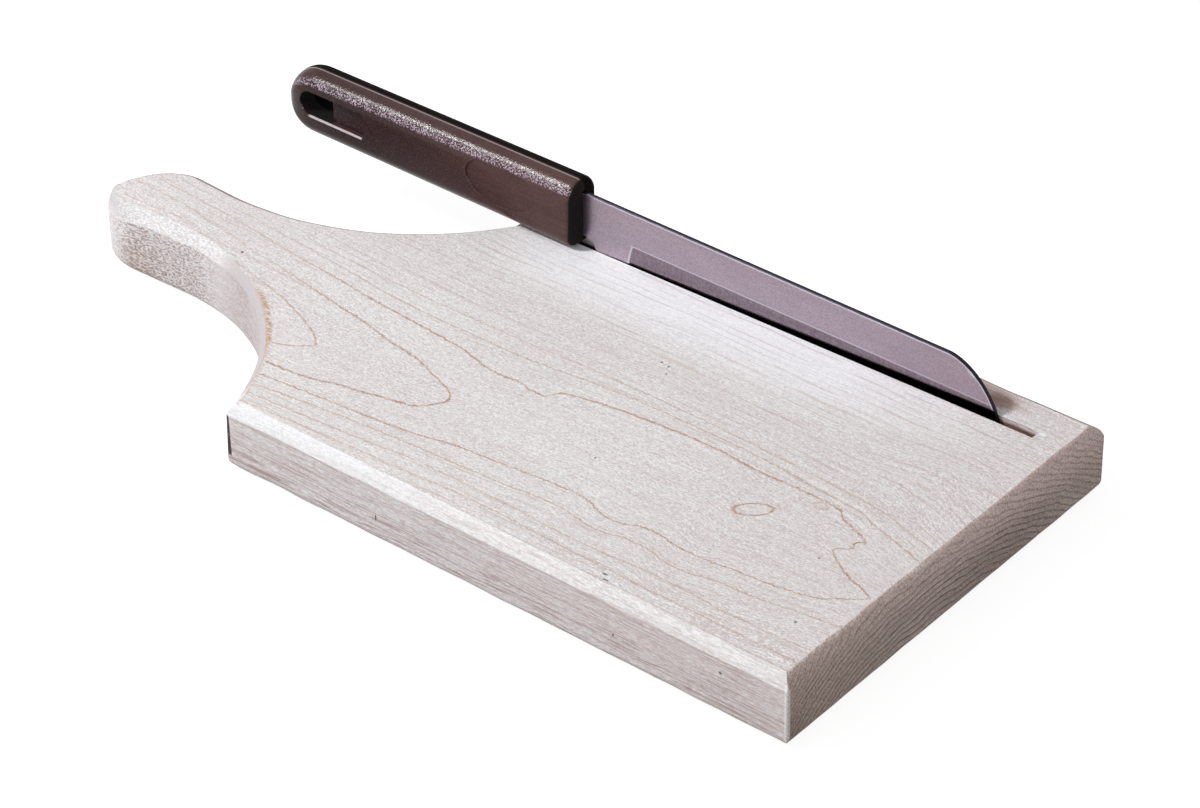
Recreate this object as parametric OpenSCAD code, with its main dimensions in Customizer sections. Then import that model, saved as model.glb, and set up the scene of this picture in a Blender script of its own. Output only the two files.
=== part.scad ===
// Small paddle-shaped bread board with a saw slot that holds its own knife.
// Millimetres. +X points from the paddle handle to the square end, +Y to the slotted far edge, +Z up.
// The origin is the middle of the board's square body, on the underside.

/* [Board] */
// Length of the square body, without the paddle handle
body_l = 188; // [150:1:240]
// Width of the body
body_w = 137.4; // [120:0.1:180]
// Thickness of the board
board_t = 22; // [18:0.5:30]
// Radius rounded over round the top edge
top_round = 4.8; // [1:0.1:6]
// Radius eased round the bottom edge
bottom_round = 3.2; // [0.5:0.1:5]

/* [Paddle handle] */
// Distance that the paddle handle reaches out from the body
paddle_l = 103.9; // [90:0.1:130]
// Width of the paddle handle at its rounded end
paddle_w = 29.2; // [22:0.1:40]
// Length of the paddle's rounded end on its far side
paddle_end = 17.7; // [10:0.1:25]
// Distance of the paddle's foremost point from its centreline, towards the near side
end_shift = 5.4; // [0:0.1:7]
// Distance of the paddle's centreline from the near edge of the body
paddle_y = 65.8; // [60:0.1:70]
// How much each flank of the paddle draws in over its straight run
waist = 0.6; // [0:0.1:2]
// Distance from the body at which the near flank starts to flare
near_flare = 68.4; // [50:0.1:75]
// Distance from the body at which the far flank starts to flare
far_flare = 70.8; // [50:0.1:75]
// Straight strip of the far shoulder between the end of the flare and the slot
slot_land = 1.5; // [1.2:0.1:8]

/* [Knife slot] */
// Width of the saw cut
kerf = 3.2; // [2.4:0.1:4]
// Depth of the saw cut
slot_depth = 10.8; // [9:0.1:13]
// Distance from the far edge to the slot's near wall, at the shoulder
slot_edge = 20.1; // [15:0.1:30]
// Distance from the square end at which the slot runs out at the top
slot_stop = 10.8; // [5:0.1:30]
// Radius of the saw that cut the slot, seen in the run-out
saw_r = 32; // [24:1:60]
// Distance between the point of the blade and the end of the slot
point_back = 11.2; // [9:0.1:20]
// Angle between the slot and the far edge, in degrees
slot_skew = 0.6; // [-1:0.1:1]

/* [Knife handle] */
// Length of the knife's handle
grip_l = 107.3; // [90:0.1:120]
// Height of the handle where the blade comes out
grip_h = 21.3; // [19:0.1:26]
// How much lower the handle is at its hanging end
grip_taper = 1; // [0:0.1:3]
// Thickness of the handle across both halves
grip_t = 12; // [10:0.1:16]
// Length of the handle's rounded hanging end
grip_end = 10.5; // [6:0.1:14]
// Rounding of the handle's two lower edges
grip_round = 4; // [1:0.1:5.5]
// Rounding of the handle's front edge
grip_nose = 2.2; // [0.5:0.1:3]
// Length of the hanging hole that goes through the handle
hang_l = 11.4; // [10:0.1:16]
// Height of the hanging hole and of the recess beside it
hang_h = 8.2; // [6:0.1:10]
// Material left behind the hanging hole
hang_margin = 6.2; // [4:0.1:9]
// Height of the hanging hole's middle above the handle's underside
hang_z = 11; // [9:0.1:12]
// Length of the shallow recess in front of the hanging hole
recess_l = 13.1; // [6:0.1:16]
// Depth of that recess
recess_d = 1.8; // [0.6:0.1:2.6]
// Length of the oval thumb rest
thumb_l = 25.6; // [18:0.1:32]
// Height of the oval thumb rest
thumb_h = 14.4; // [10:0.1:17]
// Depth of the oval thumb rest
thumb_d = 0.4; // [0.2:0.1:0.8]
// Distance from the front of the handle to the middle of the thumb rest
thumb_x = 25.5; // [20:0.1:32]
// Height of the thumb rest's middle above the handle's underside
thumb_z = 12; // [9:0.1:12.5]

/* [Blade] */
// Length of blade that stands out of the handle
blade_l = 140.7; // [110:0.1:150]
// Height of the blade from spine to edge
blade_h = 21.6; // [20:0.1:26]
// Thickness of the blade at the spine
blade_t = 1.2; // [0.8:0.1:1.6]
// Thickness left at the cutting edge
edge_t = 0.2; // [0.1:0.05:0.4]
// Distance of the spine below the top of the handle
spine_drop = 3.9; // [2:0.1:5]
// Length of the curve that drops from the spine to the point
tip_l = 18; // [10:0.5:30]
// Height of the ground bevel above the cutting edge
bevel_h = 10.7; // [4:0.1:13]
// Distance from the handle to the start of the ground bevel
bevel_start = 15.9; // [8:0.1:30]
// Height of the neck's underside above the handle's underside
neck_z = 3.1; // [1:0.1:6]
// Length of the straight neck under the handle's end
neck_l = 1.6; // [0.5:0.1:4]
// Length of the curve from the neck down to the heel
choil_l = 3.8; // [2:0.1:8]
// Length of the tang inside the handle
tang_l = 68; // [50:1:76]
// Height of the tang
tang_h = 9; // [6:0.5:11]
// Height of the tang's underside above the handle's underside
tang_z = 6; // [4.5:0.1:8]
// Length of the blade's full-height neck inside the handle
neck_in = 6; // [3:0.5:10]
// Radius of the moulded pegs that lock the tang
peg_r = 1.8; // [1.2:0.1:2.4]
// Depth of each peg's seat in the near half
peg_seat = 3; // [1:0.1:4]

/* [Fit] */
// Gap between the board and what rests on it
rest_gap = 0.3; // [0.1:0.05:0.5]
// Gap between the blade and the slot's walls where it leans on them
wall_gap = 0.15; // [0.1:0.05:0.3]
// Gap round the tang and round the pegs
peg_gap = 0.1; // [0.05:0.05:0.2]

/* [Hidden] */
// More than any cut needs to reach past a face
over = 1;
// Cut length that clears the whole knife
far = 400;
// Segments in the paddle's rounded end and in each flare
end_steps = 20;
flare_steps = 16;
// Steps in a rounded edge
round_steps = 5;
// Steps over the handle's round top and round each lower edge
crown_steps = 16;
corner_steps = 6;
// Squareness of the handle's end, seen from the side and from above
end_power_side = 2.2;
end_power_plan = 3.2;
end_rings = 9;
nose_rings = 4;
// Least half height and half thickness that the handle's end closes to
end_half_h = 0.6;
end_half_t = 0.4;
// Most of a section's half thickness or half height that its lower rounding may take
round_share = 0.9;
// How much wider than the top edge's rounding the paddle's tightest bend stays
nose_spare = 1;
// Places of the two pegs, as shares of the tang's length
peg_shares = [0.3, 0.75];
// Points in the blade's curves
curve_steps = 14;
// How full the curve of the point is: 2 is an ellipse
tip_power = 1.75;

paddle_r = paddle_w / 2;
paddle_root = -paddle_l + paddle_end;
// The near quarter of the rounded end: its width, its length and where it starts
near_half = paddle_r - end_shift;
near_end = near_half * near_half / (top_round + nose_spare);
near_root = -paddle_l + near_end;
flank_near = atan(waist / (-near_flare - near_root));
flank_far = atan(waist / (-far_flare - paddle_root));

// Edge of the blade below the underside of the handle
edge_drop = spine_drop + blade_h - grip_h;
spine_z = grip_h - spine_drop;
edge_z = spine_z - blade_h;
floor_z = board_t - slot_depth;
// Where the slot's near wall meets the shoulder, in body coordinates
slot_y = body_w - slot_edge;
// Where the saw stopped and where its cut comes out at the top, measured along the slot
slot_end = (body_l - slot_stop) / cos(slot_skew);
saw_x = slot_end - sqrt(2 * saw_r * slot_depth - slot_depth * slot_depth);
// Where the blade's point and the front of the handle lie along the slot
point_x = slot_end - point_back;
front_x = point_x - blade_l;
// The knife rests on the front of its handle and, with its point, on the rising floor of the slot
point_rise = point_x > saw_x ? saw_r - sqrt(saw_r * saw_r - (point_x - saw_x) * (point_x - saw_x)) : 0;
tilt = asin((slot_depth - point_rise - edge_drop) / blade_l);
// It leans across the slot, near wall at the handle and far wall at the point
lean = asin((kerf - blade_t - 2 * wall_gap) / blade_l);

function unit(v) = v / norm(v);
function mitre(a, b) = (a + b) / (1 + a * b);
function power_round(t, p) = pow(max(0, 1 - pow(t, p)), 1 / p);

// One flank, on the +Y side of the paddle's centreline: [point, outward normal] from the root of the
// rounded end to the shoulder. reach is the half width that the flare has at the shoulder.
function flank(start, slope, reach) =
  let (w = paddle_r - waist, dy = reach - w, c = cos(slope), s = -sin(slope))
  // the arc leaves the flank at its slope and passes through the shoulder's corner
  let (r = (start * start + dy * dy) / (2 * (dy * c - start * s)))
  let (centre = [-start - r * s, w + r * c])
  let (a0 = atan2(w - centre[1], -start - centre[0]), a1 = atan2(reach - centre[1], -centre[0]))
  [for (i = [0:flare_steps])
    let (a = a0 + (a1 - a0) * i / flare_steps)
    [centre + r * [cos(a), sin(a)], -[cos(a), sin(a)]]];

// The paddle's rounded end from the +Y flank round to the -Y flank: two quarter ellipses that meet
// at the foremost point
paddle_tip = [for (i = [0:end_steps])
  let (a = 90 + 180 * i / end_steps)
  let (rx = a <= 180 ? paddle_end : near_end)
  let (ry = a <= 180 ? paddle_r + end_shift : near_half)
  let (n = unit([cos(a) / rx, sin(a) / ry]))
  [[-paddle_l + rx + rx * cos(a), ry * sin(a) - end_shift], n]];

far_side = flank(far_flare, flank_far, slot_y - slot_land - paddle_y);
near_side = flank(near_flare, flank_near, paddle_y);

// Outline of the board, anticlockwise from the near square corner: [point, offset direction]
outline = concat(
  [[[body_l, 0], [1, -1]], [[body_l, body_w], [1, 1]], [[0, body_w], [-1, 1]]],
  [for (i = [flare_steps:-1:0])
    let (p = far_side[i], n = i == flare_steps ? mitre(p[1], [-1, 0]) : p[1])
    [p[0] + [0, paddle_y], n]],
  [for (p = paddle_tip) [p[0] + [0, paddle_y], p[1]]],
  [for (i = [0:flare_steps])
    let (p = near_side[i], q = [p[1][0], -p[1][1]], n = i == flare_steps ? mitre(q, [0, -1]) : q)
    [[p[0][0], paddle_y - p[0][1]], n]]
);

// Levels of the board's sides: [height, how far the outline is drawn in]
side_levels = concat(
  [for (i = [round_steps:-1:0])
    let (a = 90 * i / round_steps)
    [bottom_round * (1 - sin(a)), bottom_round * (1 - cos(a))]],
  [for (i = [0:round_steps])
    let (a = 90 * i / round_steps)
    [board_t - top_round * (1 - sin(a)), top_round * (1 - cos(a))]]
);

// Triangles that close a ring of n points: a fan for a convex ring, and for a long ring a ladder
// between its two sides, from the point called first to the last point
function fan(n) = [for (i = [1:n - 2]) [0, i, i + 1]];
function ladder(first, n) = concat(
  [for (i = [0:n]) if (first + i + 1 < n - 1 - i) [first + i, first + i + 1, n - 1 - i]],
  [for (i = [0:n]) if (first + i + 1 < n - 2 - i) [first + i + 1, n - 2 - i, n - 1 - i]]
);

// A closed skin through rings of points that all have the same count, its two ends closed by cap
module skin(rings, cap) {
  n = len(rings[0]);
  last = len(rings) - 1;
  points = [for (r = rings) for (p = r) p];
  sides = [for (k = [0:last - 1]) for (i = [0:n - 1])
    let (j = (i + 1) % n)
    [k * n + i, (k + 1) * n + i, (k + 1) * n + j, k * n + j]];
  top = [for (t = cap) [last * n + t[2], last * n + t[1], last * n + t[0]]];
  polyhedron(points = points, faces = concat(sides, cap, top), convexity = 6);
}

// The square body's end of the board is closed by three triangles and the paddle by a ladder
slab_cap = let (n = len(outline))
  concat([[0, 1, 2], [0, 2, 3], [0, 3, n - 1]], ladder(3, n));

module slab() {
  skin([for (l = side_levels)
    [for (p = outline) [p[0][0] - l[1] * p[1][0], p[0][1] - l[1] * p[1][1], l[0]]]], slab_cap);
}

// The saw cut, open at the shoulder and running out along the saw's curve at the square end
module saw_cut() {
  rotate([0, 0, slot_skew]) {
    translate([-over, 0, floor_z])
      cube([saw_x + over, kerf, slot_depth + over]);
    translate([saw_x, kerf, floor_z + saw_r])
      rotate([90, 0, 0])
        cylinder(h = kerf, r = saw_r, $fn = 180);
  }
}

// Moves children from body coordinates to the part's own frame
module in_frame() {
  translate([-body_l / 2, -body_w / 2, 0])
    children();
}

module board() {
  color("#d9cfc4")
    in_frame()
      difference() {
        slab();
        translate([0, slot_y, 0])
          saw_cut();
      }
}

// Puts the knife, drawn with its handle's front underside at the origin and its blade in the XZ
// plane, into the slot: low at the point, leaning from the near wall at the heel to the far wall
module in_slot() {
  in_frame()
    translate([0, slot_y, 0])
      rotate([0, 0, slot_skew])
        translate([front_x, wall_gap + blade_t / 2, board_t + rest_gap])
          rotate([0, tilt, lean])
            children();
}

function grip_height(u) = grip_h + grip_taper * u / grip_l;

// Rings of the handle: [distance along it, underside, top, half thickness]
grip_rings = concat(
  [for (i = [end_rings:-1:0])
    let (t = sin(90 * i / end_rings), u = -grip_l + grip_end * (1 - t), m = grip_height(u) / 2)
    let (h = max(end_half_h, m * power_round(t, end_power_side)))
    [u, m - h, m + h, max(end_half_t, grip_t / 2 * power_round(t, end_power_plan))]],
  [for (i = [0:nose_rings])
    let (a = 90 * i / nose_rings, d = grip_nose * (1 - cos(a)), u = -grip_nose * (1 - sin(a)))
    [u, d, grip_height(u) - d, grip_t / 2 - d]]
);

// Points round a quarter or half ellipse in the handle's section
function bend(u, y, z, ry, rz, from, to, steps) =
  [for (i = [0:steps])
    let (a = from + (to - from) * i / steps)
    [u, y + ry * cos(a), z + rz * sin(a)]];

// Round over the top, flat at the sides, eased at the two lower edges
function section(ring) =
  let (u = ring[0], low = ring[1], high = ring[2], w = ring[3])
  let (rz = min(w, (high - low) / 2), ry = min(grip_round, w * round_share))
  let (rc = min(grip_round, (high - low) / 2 * round_share))
  concat(
    bend(u, 0, high - rz, w, rz, 0, 180, crown_steps),
    bend(u, ry - w, low + rc, ry, rc, 180, 270, corner_steps),
    bend(u, w - ry, low + rc, ry, rc, 270, 360, corner_steps)
  );

module grip() {
  rings = [for (r = grip_rings) section(r)];
  skin(rings, fan(len(rings[0])));
}

// The hanging hole right through and the shallow recess in both faces
module hang_cuts() {
  hole_end = -grip_l + hang_margin;
  r = hang_h / 2;
  translate([hole_end + r, grip_t, hang_z])
    rotate([90, 0, 0])
      cylinder(h = 2 * grip_t, r = r, $fn = 48);
  translate([hole_end + r, -grip_t, hang_z - r])
    cube([hang_l - r, 2 * grip_t, hang_h]);
  for (side = [-1, 1])
    translate([hole_end + r, side * (grip_t - recess_d) - grip_t / 2, hang_z - r])
      cube([hang_l - r + recess_l, grip_t, hang_h]);
}

// An oval thumb rest sunk into both faces
module thumb_cuts() {
  for (side = [-1, 1])
    translate([-thumb_x, side * (grip_t - thumb_d) + grip_t / 2, thumb_z])
      scale([1, 1, thumb_h / thumb_l])
        rotate([90, 0, 0])
          cylinder(h = grip_t, r = thumb_l / 2, $fn = 64);
}

peg_places = [for (k = peg_shares) -tang_l * k];
peg_z = tang_z + tang_h / 2;

module pegs(r, from, to) {
  for (u = peg_places)
    translate([u, to, peg_z])
      rotate([90, 0, 0])
        cylinder(h = to - from, r = r, $fn = 32);
}

// Room for the tang, shared by the two halves
module tang_room() {
  half = blade_t / 2 + peg_gap;
  translate([-tang_l - peg_gap, -half, tang_z - peg_gap])
    cube([tang_l + over, 2 * half, tang_h + 2 * peg_gap]);
  // the neck of the blade is taller than the tang and enters the front of the handle
  translate([-neck_in - peg_gap, -half, neck_z - peg_gap])
    cube([neck_in + over, 2 * half, spine_z - neck_z + 2 * peg_gap]);
}

module grip_half(side) {
  difference() {
    grip();
    translate([-far / 2, side < 0 ? 0 : -far, -far / 2])
      cube([far, far, far]);
    hang_cuts();
    thumb_cuts();
    tang_room();
  }
}

module handle_near_half() {
  color("#4a3530")
    in_slot()
      difference() {
        grip_half(-1);
        pegs(peg_r + peg_gap, -blade_t / 2 - peg_gap - peg_seat, over);
      }
}

module handle_far_half() {
  color("#3d2b27")
    in_slot()
      union() {
        grip_half(1);
        pegs(peg_r, peg_gap - blade_t / 2 - peg_seat, blade_t / 2 + 2 * peg_gap);
      }
}

tip_u = blade_l - tip_l;
blade_side = concat(
  [[-neck_in, spine_z]],
  [[-neck_in, tang_z + tang_h], [-tang_l, tang_z + tang_h], [-tang_l, tang_z], [-neck_in, tang_z]],
  [[-neck_in, neck_z], [neck_l, neck_z]],
  [for (i = [1:curve_steps])
    let (a = 90 * i / curve_steps)
    [neck_l + choil_l * sin(a), edge_z + (neck_z - edge_z) * cos(a)]],
  [for (i = [0:curve_steps])
    let (t = i / curve_steps)
    [tip_u + tip_l * power_round(t, tip_power), edge_z + blade_h * t]]
);

// A long wedge that takes the bevel off one face of the blade
module bevel_cut() {
  rise = (blade_t - edge_t) / 2;
  translate([bevel_start, 0, edge_z])
    rotate([90, 0, 90])
      linear_extrude(blade_l)
        polygon([
          [blade_t / 2 - rise, 0],
          [blade_t / 2, bevel_h],
          [blade_t, bevel_h],
          [blade_t, -over],
          [blade_t / 2 - rise, -over]
        ]);
}

module blade() {
  color("#a7a2aa")
    in_slot()
      difference() {
        translate([0, blade_t / 2, 0])
          rotate([90, 0, 0])
            linear_extrude(blade_t)
              polygon(blade_side);
        bevel_cut();
        mirror([0, 1, 0])
          bevel_cut();
        pegs(peg_r + peg_gap, -blade_t, blade_t);
      }
}

board();
blade();
handle_near_half();
handle_far_half();
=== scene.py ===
import math

import bmesh
import bpy
from mathutils import Matrix, Vector, noise
from collections import namedtuple


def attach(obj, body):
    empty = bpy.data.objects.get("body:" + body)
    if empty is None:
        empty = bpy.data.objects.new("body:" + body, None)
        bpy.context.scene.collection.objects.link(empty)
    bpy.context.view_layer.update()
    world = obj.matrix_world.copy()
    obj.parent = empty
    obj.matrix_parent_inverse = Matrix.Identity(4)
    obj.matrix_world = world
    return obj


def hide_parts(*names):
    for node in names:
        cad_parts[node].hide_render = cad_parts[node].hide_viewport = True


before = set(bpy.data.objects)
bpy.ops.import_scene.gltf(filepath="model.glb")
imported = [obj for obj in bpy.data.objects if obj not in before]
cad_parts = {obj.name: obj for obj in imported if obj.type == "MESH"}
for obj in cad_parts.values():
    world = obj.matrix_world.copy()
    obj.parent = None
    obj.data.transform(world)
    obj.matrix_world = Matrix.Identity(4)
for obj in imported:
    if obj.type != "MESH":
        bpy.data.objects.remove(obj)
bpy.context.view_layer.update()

# Sizes in millimetres, as in the part's source. Body coordinates start at the near left shoulder.
MM = 0.001
BODY_L = 188.0
BODY_W = 137.4
BOARD_T = 22.0
TOP_ROUND = 4.8
BOTTOM_ROUND = 3.2
PADDLE_L = 103.9
PADDLE_W = 29.2
PADDLE_END = 17.7
END_SHIFT = 5.4
NOSE_SPARE = 1.0
PADDLE_Y = 65.8
WAIST = 0.6
NEAR_FLARE = 68.4
FAR_FLARE = 70.8
SLOT_LAND = 1.5

KERF = 3.2
SLOT_DEPTH = 10.8
SLOT_Y = 117.3
SLOT_SKEW = math.radians(0.6)
SLOT_END = 177.2
SAW_R = 32.0

GRIP_L = 107.3
GRIP_H = 21.3
GRIP_TAPER = 1.0
GRIP_T = 12.0
GRIP_END = 10.5
GRIP_ROUND = 4.0
GRIP_NOSE = 2.2
HANG_L = 11.4
HANG_H = 8.2
HANG_MARGIN = 6.2
HANG_Z = 11.0
RECESS_L = 13.1
RECESS_D = 1.8
THUMB_L = 25.6
THUMB_H = 14.4
THUMB_D = 0.4
THUMB_X = 25.5
THUMB_Z = 12.0

BLADE_L = 140.7
BLADE_H = 21.6
BLADE_T = 1.2
EDGE_T = 0.2
SPINE_Z = 17.4
EDGE_Z = -4.2
TIP_L = 18.0
TIP_POWER = 1.75
BEVEL_H = 10.7
BEVEL_START = 15.9
NECK_Z = 3.1
NECK_L = 1.6
NECK_IN = 6.0
CHOIL_L = 3.8
TANG_L = 68.0
TANG_H = 9.0
TANG_Z = 6.0

# The near quarter of the paddle's rounded end is narrower and shorter than the far one
NEAR_HALF = PADDLE_W / 2 - END_SHIFT
NEAR_END = NEAR_HALF * NEAR_HALF / (TOP_ROUND + NOSE_SPARE)
NEAR_ROOT = -PADDLE_L + NEAR_END

# How the top edge is eased along each part of the outline: how far in from the side, how far down
# from the top, and how full the curve is (1 is a flat facet, 2 an ellipse)
NEAR_EASE = (2.5, 3.9, 1.15)
END_EASE = (2.4, 3.9, 1.35)
FAR_EASE = (TOP_ROUND, TOP_ROUND, 1.32)
NOSE_EASE = (2.1, 6.0, 1.25)
LOBE_EASE = (3.8, 3.0, 1.15)
NECK_EASE = (2.1, 2.6, 1.1)
FLARE_EASE = (2.8, 3.4, 1.06)
BOTTOM_EASE = (BOTTOM_ROUND, BOTTOM_ROUND, 1.7)

# How far the near left corner leans out at the bottom
SAW_LEAN = 1.1

# How the knife stands in its slot: tipped down to the point, leaning from near wall to far wall
KNIFE_X = 25.3097
KNIFE_Y = 0.75
KNIFE_Z = 22.3
TILT = math.radians(1.6053)
LEAN = math.radians(0.6923)


# ---- meshes ----

def mesh_object(name, points, faces):
    """A new object from points in millimetres."""
    mesh = bpy.data.meshes.new(name)
    mesh.from_pydata([Vector(p) * MM for p in points], [], faces)
    mesh.validate()
    thing = bpy.data.objects.new(name, mesh)
    bpy.context.scene.collection.objects.link(thing)
    return thing


def loft(rings):
    """Points and faces of a closed skin through rings that all have the same count."""
    count = len(rings[0])
    points = [p for ring in rings for p in ring]
    faces = []
    for k in range(len(rings) - 1):
        for i in range(count):
            j = (i + 1) % count
            faces.append((k * count + i, k * count + j, (k + 1) * count + j, (k + 1) * count + i))
    last = (len(rings) - 1) * count
    faces.append(tuple(range(count - 1, -1, -1)))
    faces.append(tuple(last + i for i in range(count)))
    return points, faces


def mend(thing, merge=0.01):
    """Joins points that fall together and turns every face outwards."""
    mesh = thing.data
    work = bmesh.new()
    work.from_mesh(mesh)
    bmesh.ops.remove_doubles(work, verts=work.verts, dist=merge * MM)
    bmesh.ops.dissolve_degenerate(work, edges=work.edges, dist=merge * MM * 0.5)
    bmesh.ops.recalc_face_normals(work, faces=work.faces)
    work.to_mesh(mesh)
    work.free()


def apply_modifiers(thing):
    """Bakes a piece's modifiers into its mesh."""
    bpy.context.view_layer.update()
    graph = bpy.context.evaluated_depsgraph_get()
    mesh = bpy.data.meshes.new_from_object(thing.evaluated_get(graph))
    thing.modifiers.clear()
    thing.data = mesh


def cut_away(thing, cutters):
    """Takes each cutter off the piece and throws the cutter away."""
    for cutter in cutters:
        cut = thing.modifiers.new(cutter.name, "BOOLEAN")
        cut.operation = "DIFFERENCE"
        cut.solver = "EXACT"
        cut.object = cutter
    apply_modifiers(thing)
    for cutter in cutters:
        bpy.data.objects.remove(cutter)


def smooth(thing, sharp_from):
    """Smooth shading that keeps edges sharper than the angle, in degrees."""
    thing.data.shade_smooth()
    thing.data.set_sharp_from_angle(angle=math.radians(sharp_from))


def bevel(thing, width, steps, sharp_from):
    """Rounds the piece's sharp edges by a width in millimetres."""
    edge = thing.modifiers.new("bevel", "BEVEL")
    edge.width = width * MM
    edge.segments = steps
    edge.limit_method = "ANGLE"
    edge.angle_limit = math.radians(sharp_from)
    edge.use_clamp_overlap = True
    apply_modifiers(thing)


def extruded(name, outline, low, high, place=Matrix.Identity(4)):
    """A prism: outline in X and Z, from low to high in Y, moved by place, which is in millimetres."""
    count = len(outline)
    points = [place @ Vector((x, low, z)) for x, z in outline]
    points += [place @ Vector((x, high, z)) for x, z in outline]
    faces = [(i, (i + 1) % count, count + (i + 1) % count, count + i) for i in range(count)]
    faces += [tuple(range(count - 1, -1, -1)), tuple(range(count, 2 * count))]
    thing = mesh_object(name, points, faces)
    mend(thing)
    return thing


# ---- the board ----

# A piece of the outline: its place, its outward direction, how a corner is drawn in, and its easing
Stretch = namedtuple("Stretch", "point normal mitre top_mitre radius ease")


def flare(start, reach, steps, root):
    """One flank's flare on the +Y side of the paddle's centreline, from its start to the shoulder."""
    slope = math.atan(WAIST / (-start - root))
    half = PADDLE_W / 2 - WAIST
    rise = reach - half
    c = math.cos(slope)
    s = -math.sin(slope)
    radius = (start * start + rise * rise) / (2 * (rise * c - start * s))
    centre = (-start - radius * s, half + radius * c)
    first = math.atan2(half - centre[1], -start - centre[0])
    last = math.atan2(reach - centre[1], -centre[0])
    points = []
    for i in range(steps + 1):
        a = first + (last - first) * i / steps
        place = (centre[0] + radius * math.cos(a), centre[1] + radius * math.sin(a))
        points.append((place, (-math.cos(a), -math.sin(a))))
    return points, centre, radius


def corner(point, before, after, radius, easings):
    """Stretches round one square-cut corner, drawn in along its mitre once its small radius is used up."""
    a = Vector(before)
    b = Vector(after)
    mitre = (a + b) / (1 + a.dot(b))
    centre = Vector(point) - radius * mitre
    # the two sides may be eased by different amounts, so the top's mitre is where their lines cross
    first, second = easings
    ease = (max(first[0], second[0]), max(first[1], second[1]), (first[2] + second[2]) / 2)
    i = first[0] / ease[0]
    j = second[0] / ease[0]
    turn = a.x * b.y - a.y * b.x
    top_mitre = Vector(((i * b.y - j * a.y) / turn, (j * a.x - i * b.x) / turn))
    steps = 7
    return [Stretch(centre, a.slerp(b, k / steps), mitre, top_mitre, radius, ease) for k in range(steps + 1)]


def straight(start, end, margin, pitch, normal, ease):
    """Stretches of a straight edge, clear of its corners."""
    a = Vector(start)
    b = Vector(end)
    run = (b - a).length
    count = max(1, int((run - 2 * margin) / pitch))
    stretches = []
    for i in range(count + 1):
        t = (margin + (run - 2 * margin) * i / count) / run
        stretches.append(Stretch(a.lerp(b, t), Vector(normal), None, None, 0.0, ease))
    return stretches


def between(first, second, t):
    """An easing that lies between two others."""
    t = min(1.0, max(0.0, t))
    t = t * t * (3 - 2 * t)
    return tuple(p + (q - p) * t for p, q in zip(first, second))


def drawn_in(stretch, distance, at_top):
    """Where a stretch of the outline lies once it is drawn in by a distance."""
    if stretch.mitre is None:
        return stretch.point - distance * stretch.normal
    mitre = stretch.top_mitre if at_top else stretch.mitre
    rest = max(stretch.radius - distance, 0.0)
    return stretch.point + rest * stretch.normal - max(distance - stretch.radius, 0.0) * mitre


def near_flank_ease(x):
    """The easing along the paddle's near side, from its nose to the shoulder."""
    ease = between(NOSE_EASE, LOBE_EASE, (x + 98.0) / 19.0)
    ease = between(ease, NECK_EASE, (x + 70.0) / 26.0)
    return between(ease, FLARE_EASE, (x + 24.0) / 16.0)


def paddle_tip():
    """The rounded end, from the far flank round to the near one."""
    tip = []
    for i in range(97):
        a = math.radians(90 + 180 * i / 96)
        rx = PADDLE_END if a <= math.pi else NEAR_END
        ry = PADDLE_W / 2 + END_SHIFT if a <= math.pi else NEAR_HALF
        normal = Vector((math.cos(a) / rx, math.sin(a) / ry)).normalized()
        place = Vector((-PADDLE_L + rx + rx * math.cos(a), PADDLE_Y - END_SHIFT + ry * math.sin(a)))
        ease = near_flank_ease(place.x) if i > 66 else between(FAR_EASE, NOSE_EASE, (i - 24) / 42)
        tip.append(Stretch(place, normal, None, None, 0.0, ease))
    return tip


def board_outline():
    """The board's outline, anticlockwise from the near left shoulder."""
    far_root = -PADDLE_L + PADDLE_END
    land = SLOT_Y - SLOT_LAND
    far_arc, _, _ = flare(FAR_FLARE, land - PADDLE_Y, 60, far_root)
    near_arc, _, _ = flare(NEAR_FLARE, PADDLE_Y, 90, NEAR_ROOT)
    far_side = []
    for place, normal in far_arc:
        point = Vector((place[0], place[1] + PADDLE_Y))
        far_side.append(Stretch(point, Vector(normal), None, None, 0.0, FAR_EASE))
    near_side = []
    for place, normal in near_arc:
        point = Vector((place[0], PADDLE_Y - place[1]))
        side_normal = Vector((normal[0], -normal[1]))
        near_side.append(Stretch(point, side_normal, None, None, 0.0, near_flank_ease(point.x)))
    outline = corner((0, 0), near_side[-1].normal, (0, -1), 0.3, (FLARE_EASE, NEAR_EASE))
    outline += straight((0, 0), (BODY_L, 0), 3.4, 1.6, (0, -1), NEAR_EASE)
    outline += corner((BODY_L, 0), (0, -1), (1, 0), 0.6, (NEAR_EASE, END_EASE))
    outline += straight((BODY_L, 0), (BODY_L, BODY_W), 6, 2, (1, 0), END_EASE)
    outline += corner((BODY_L, BODY_W), (1, 0), (0, 1), 1.2, (END_EASE, FAR_EASE))
    outline += straight((BODY_L, BODY_W), (0, BODY_W), 6, 3, (0, 1), FAR_EASE)
    outline += corner((0, BODY_W), (0, 1), (-1, 0), 1.0, (FAR_EASE, FAR_EASE))
    outline += corner((0, land), (-1, 0), far_side[-1].normal, 0.8, (FAR_EASE, FAR_EASE))
    outline += reversed(far_side[:-5])
    tip = paddle_tip()
    outline += tip
    # the short straight flank between the rounded end and the flare
    for i in range(1, 12):
        place = tip[-1].point.lerp(near_side[0].point, i / 12)
        outline.append(Stretch(place, near_side[0].normal, None, None, 0.0, near_flank_ease(place.x)))
    outline += [stretch for stretch in near_side if stretch.point.y > 3.4]
    return outline


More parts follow.
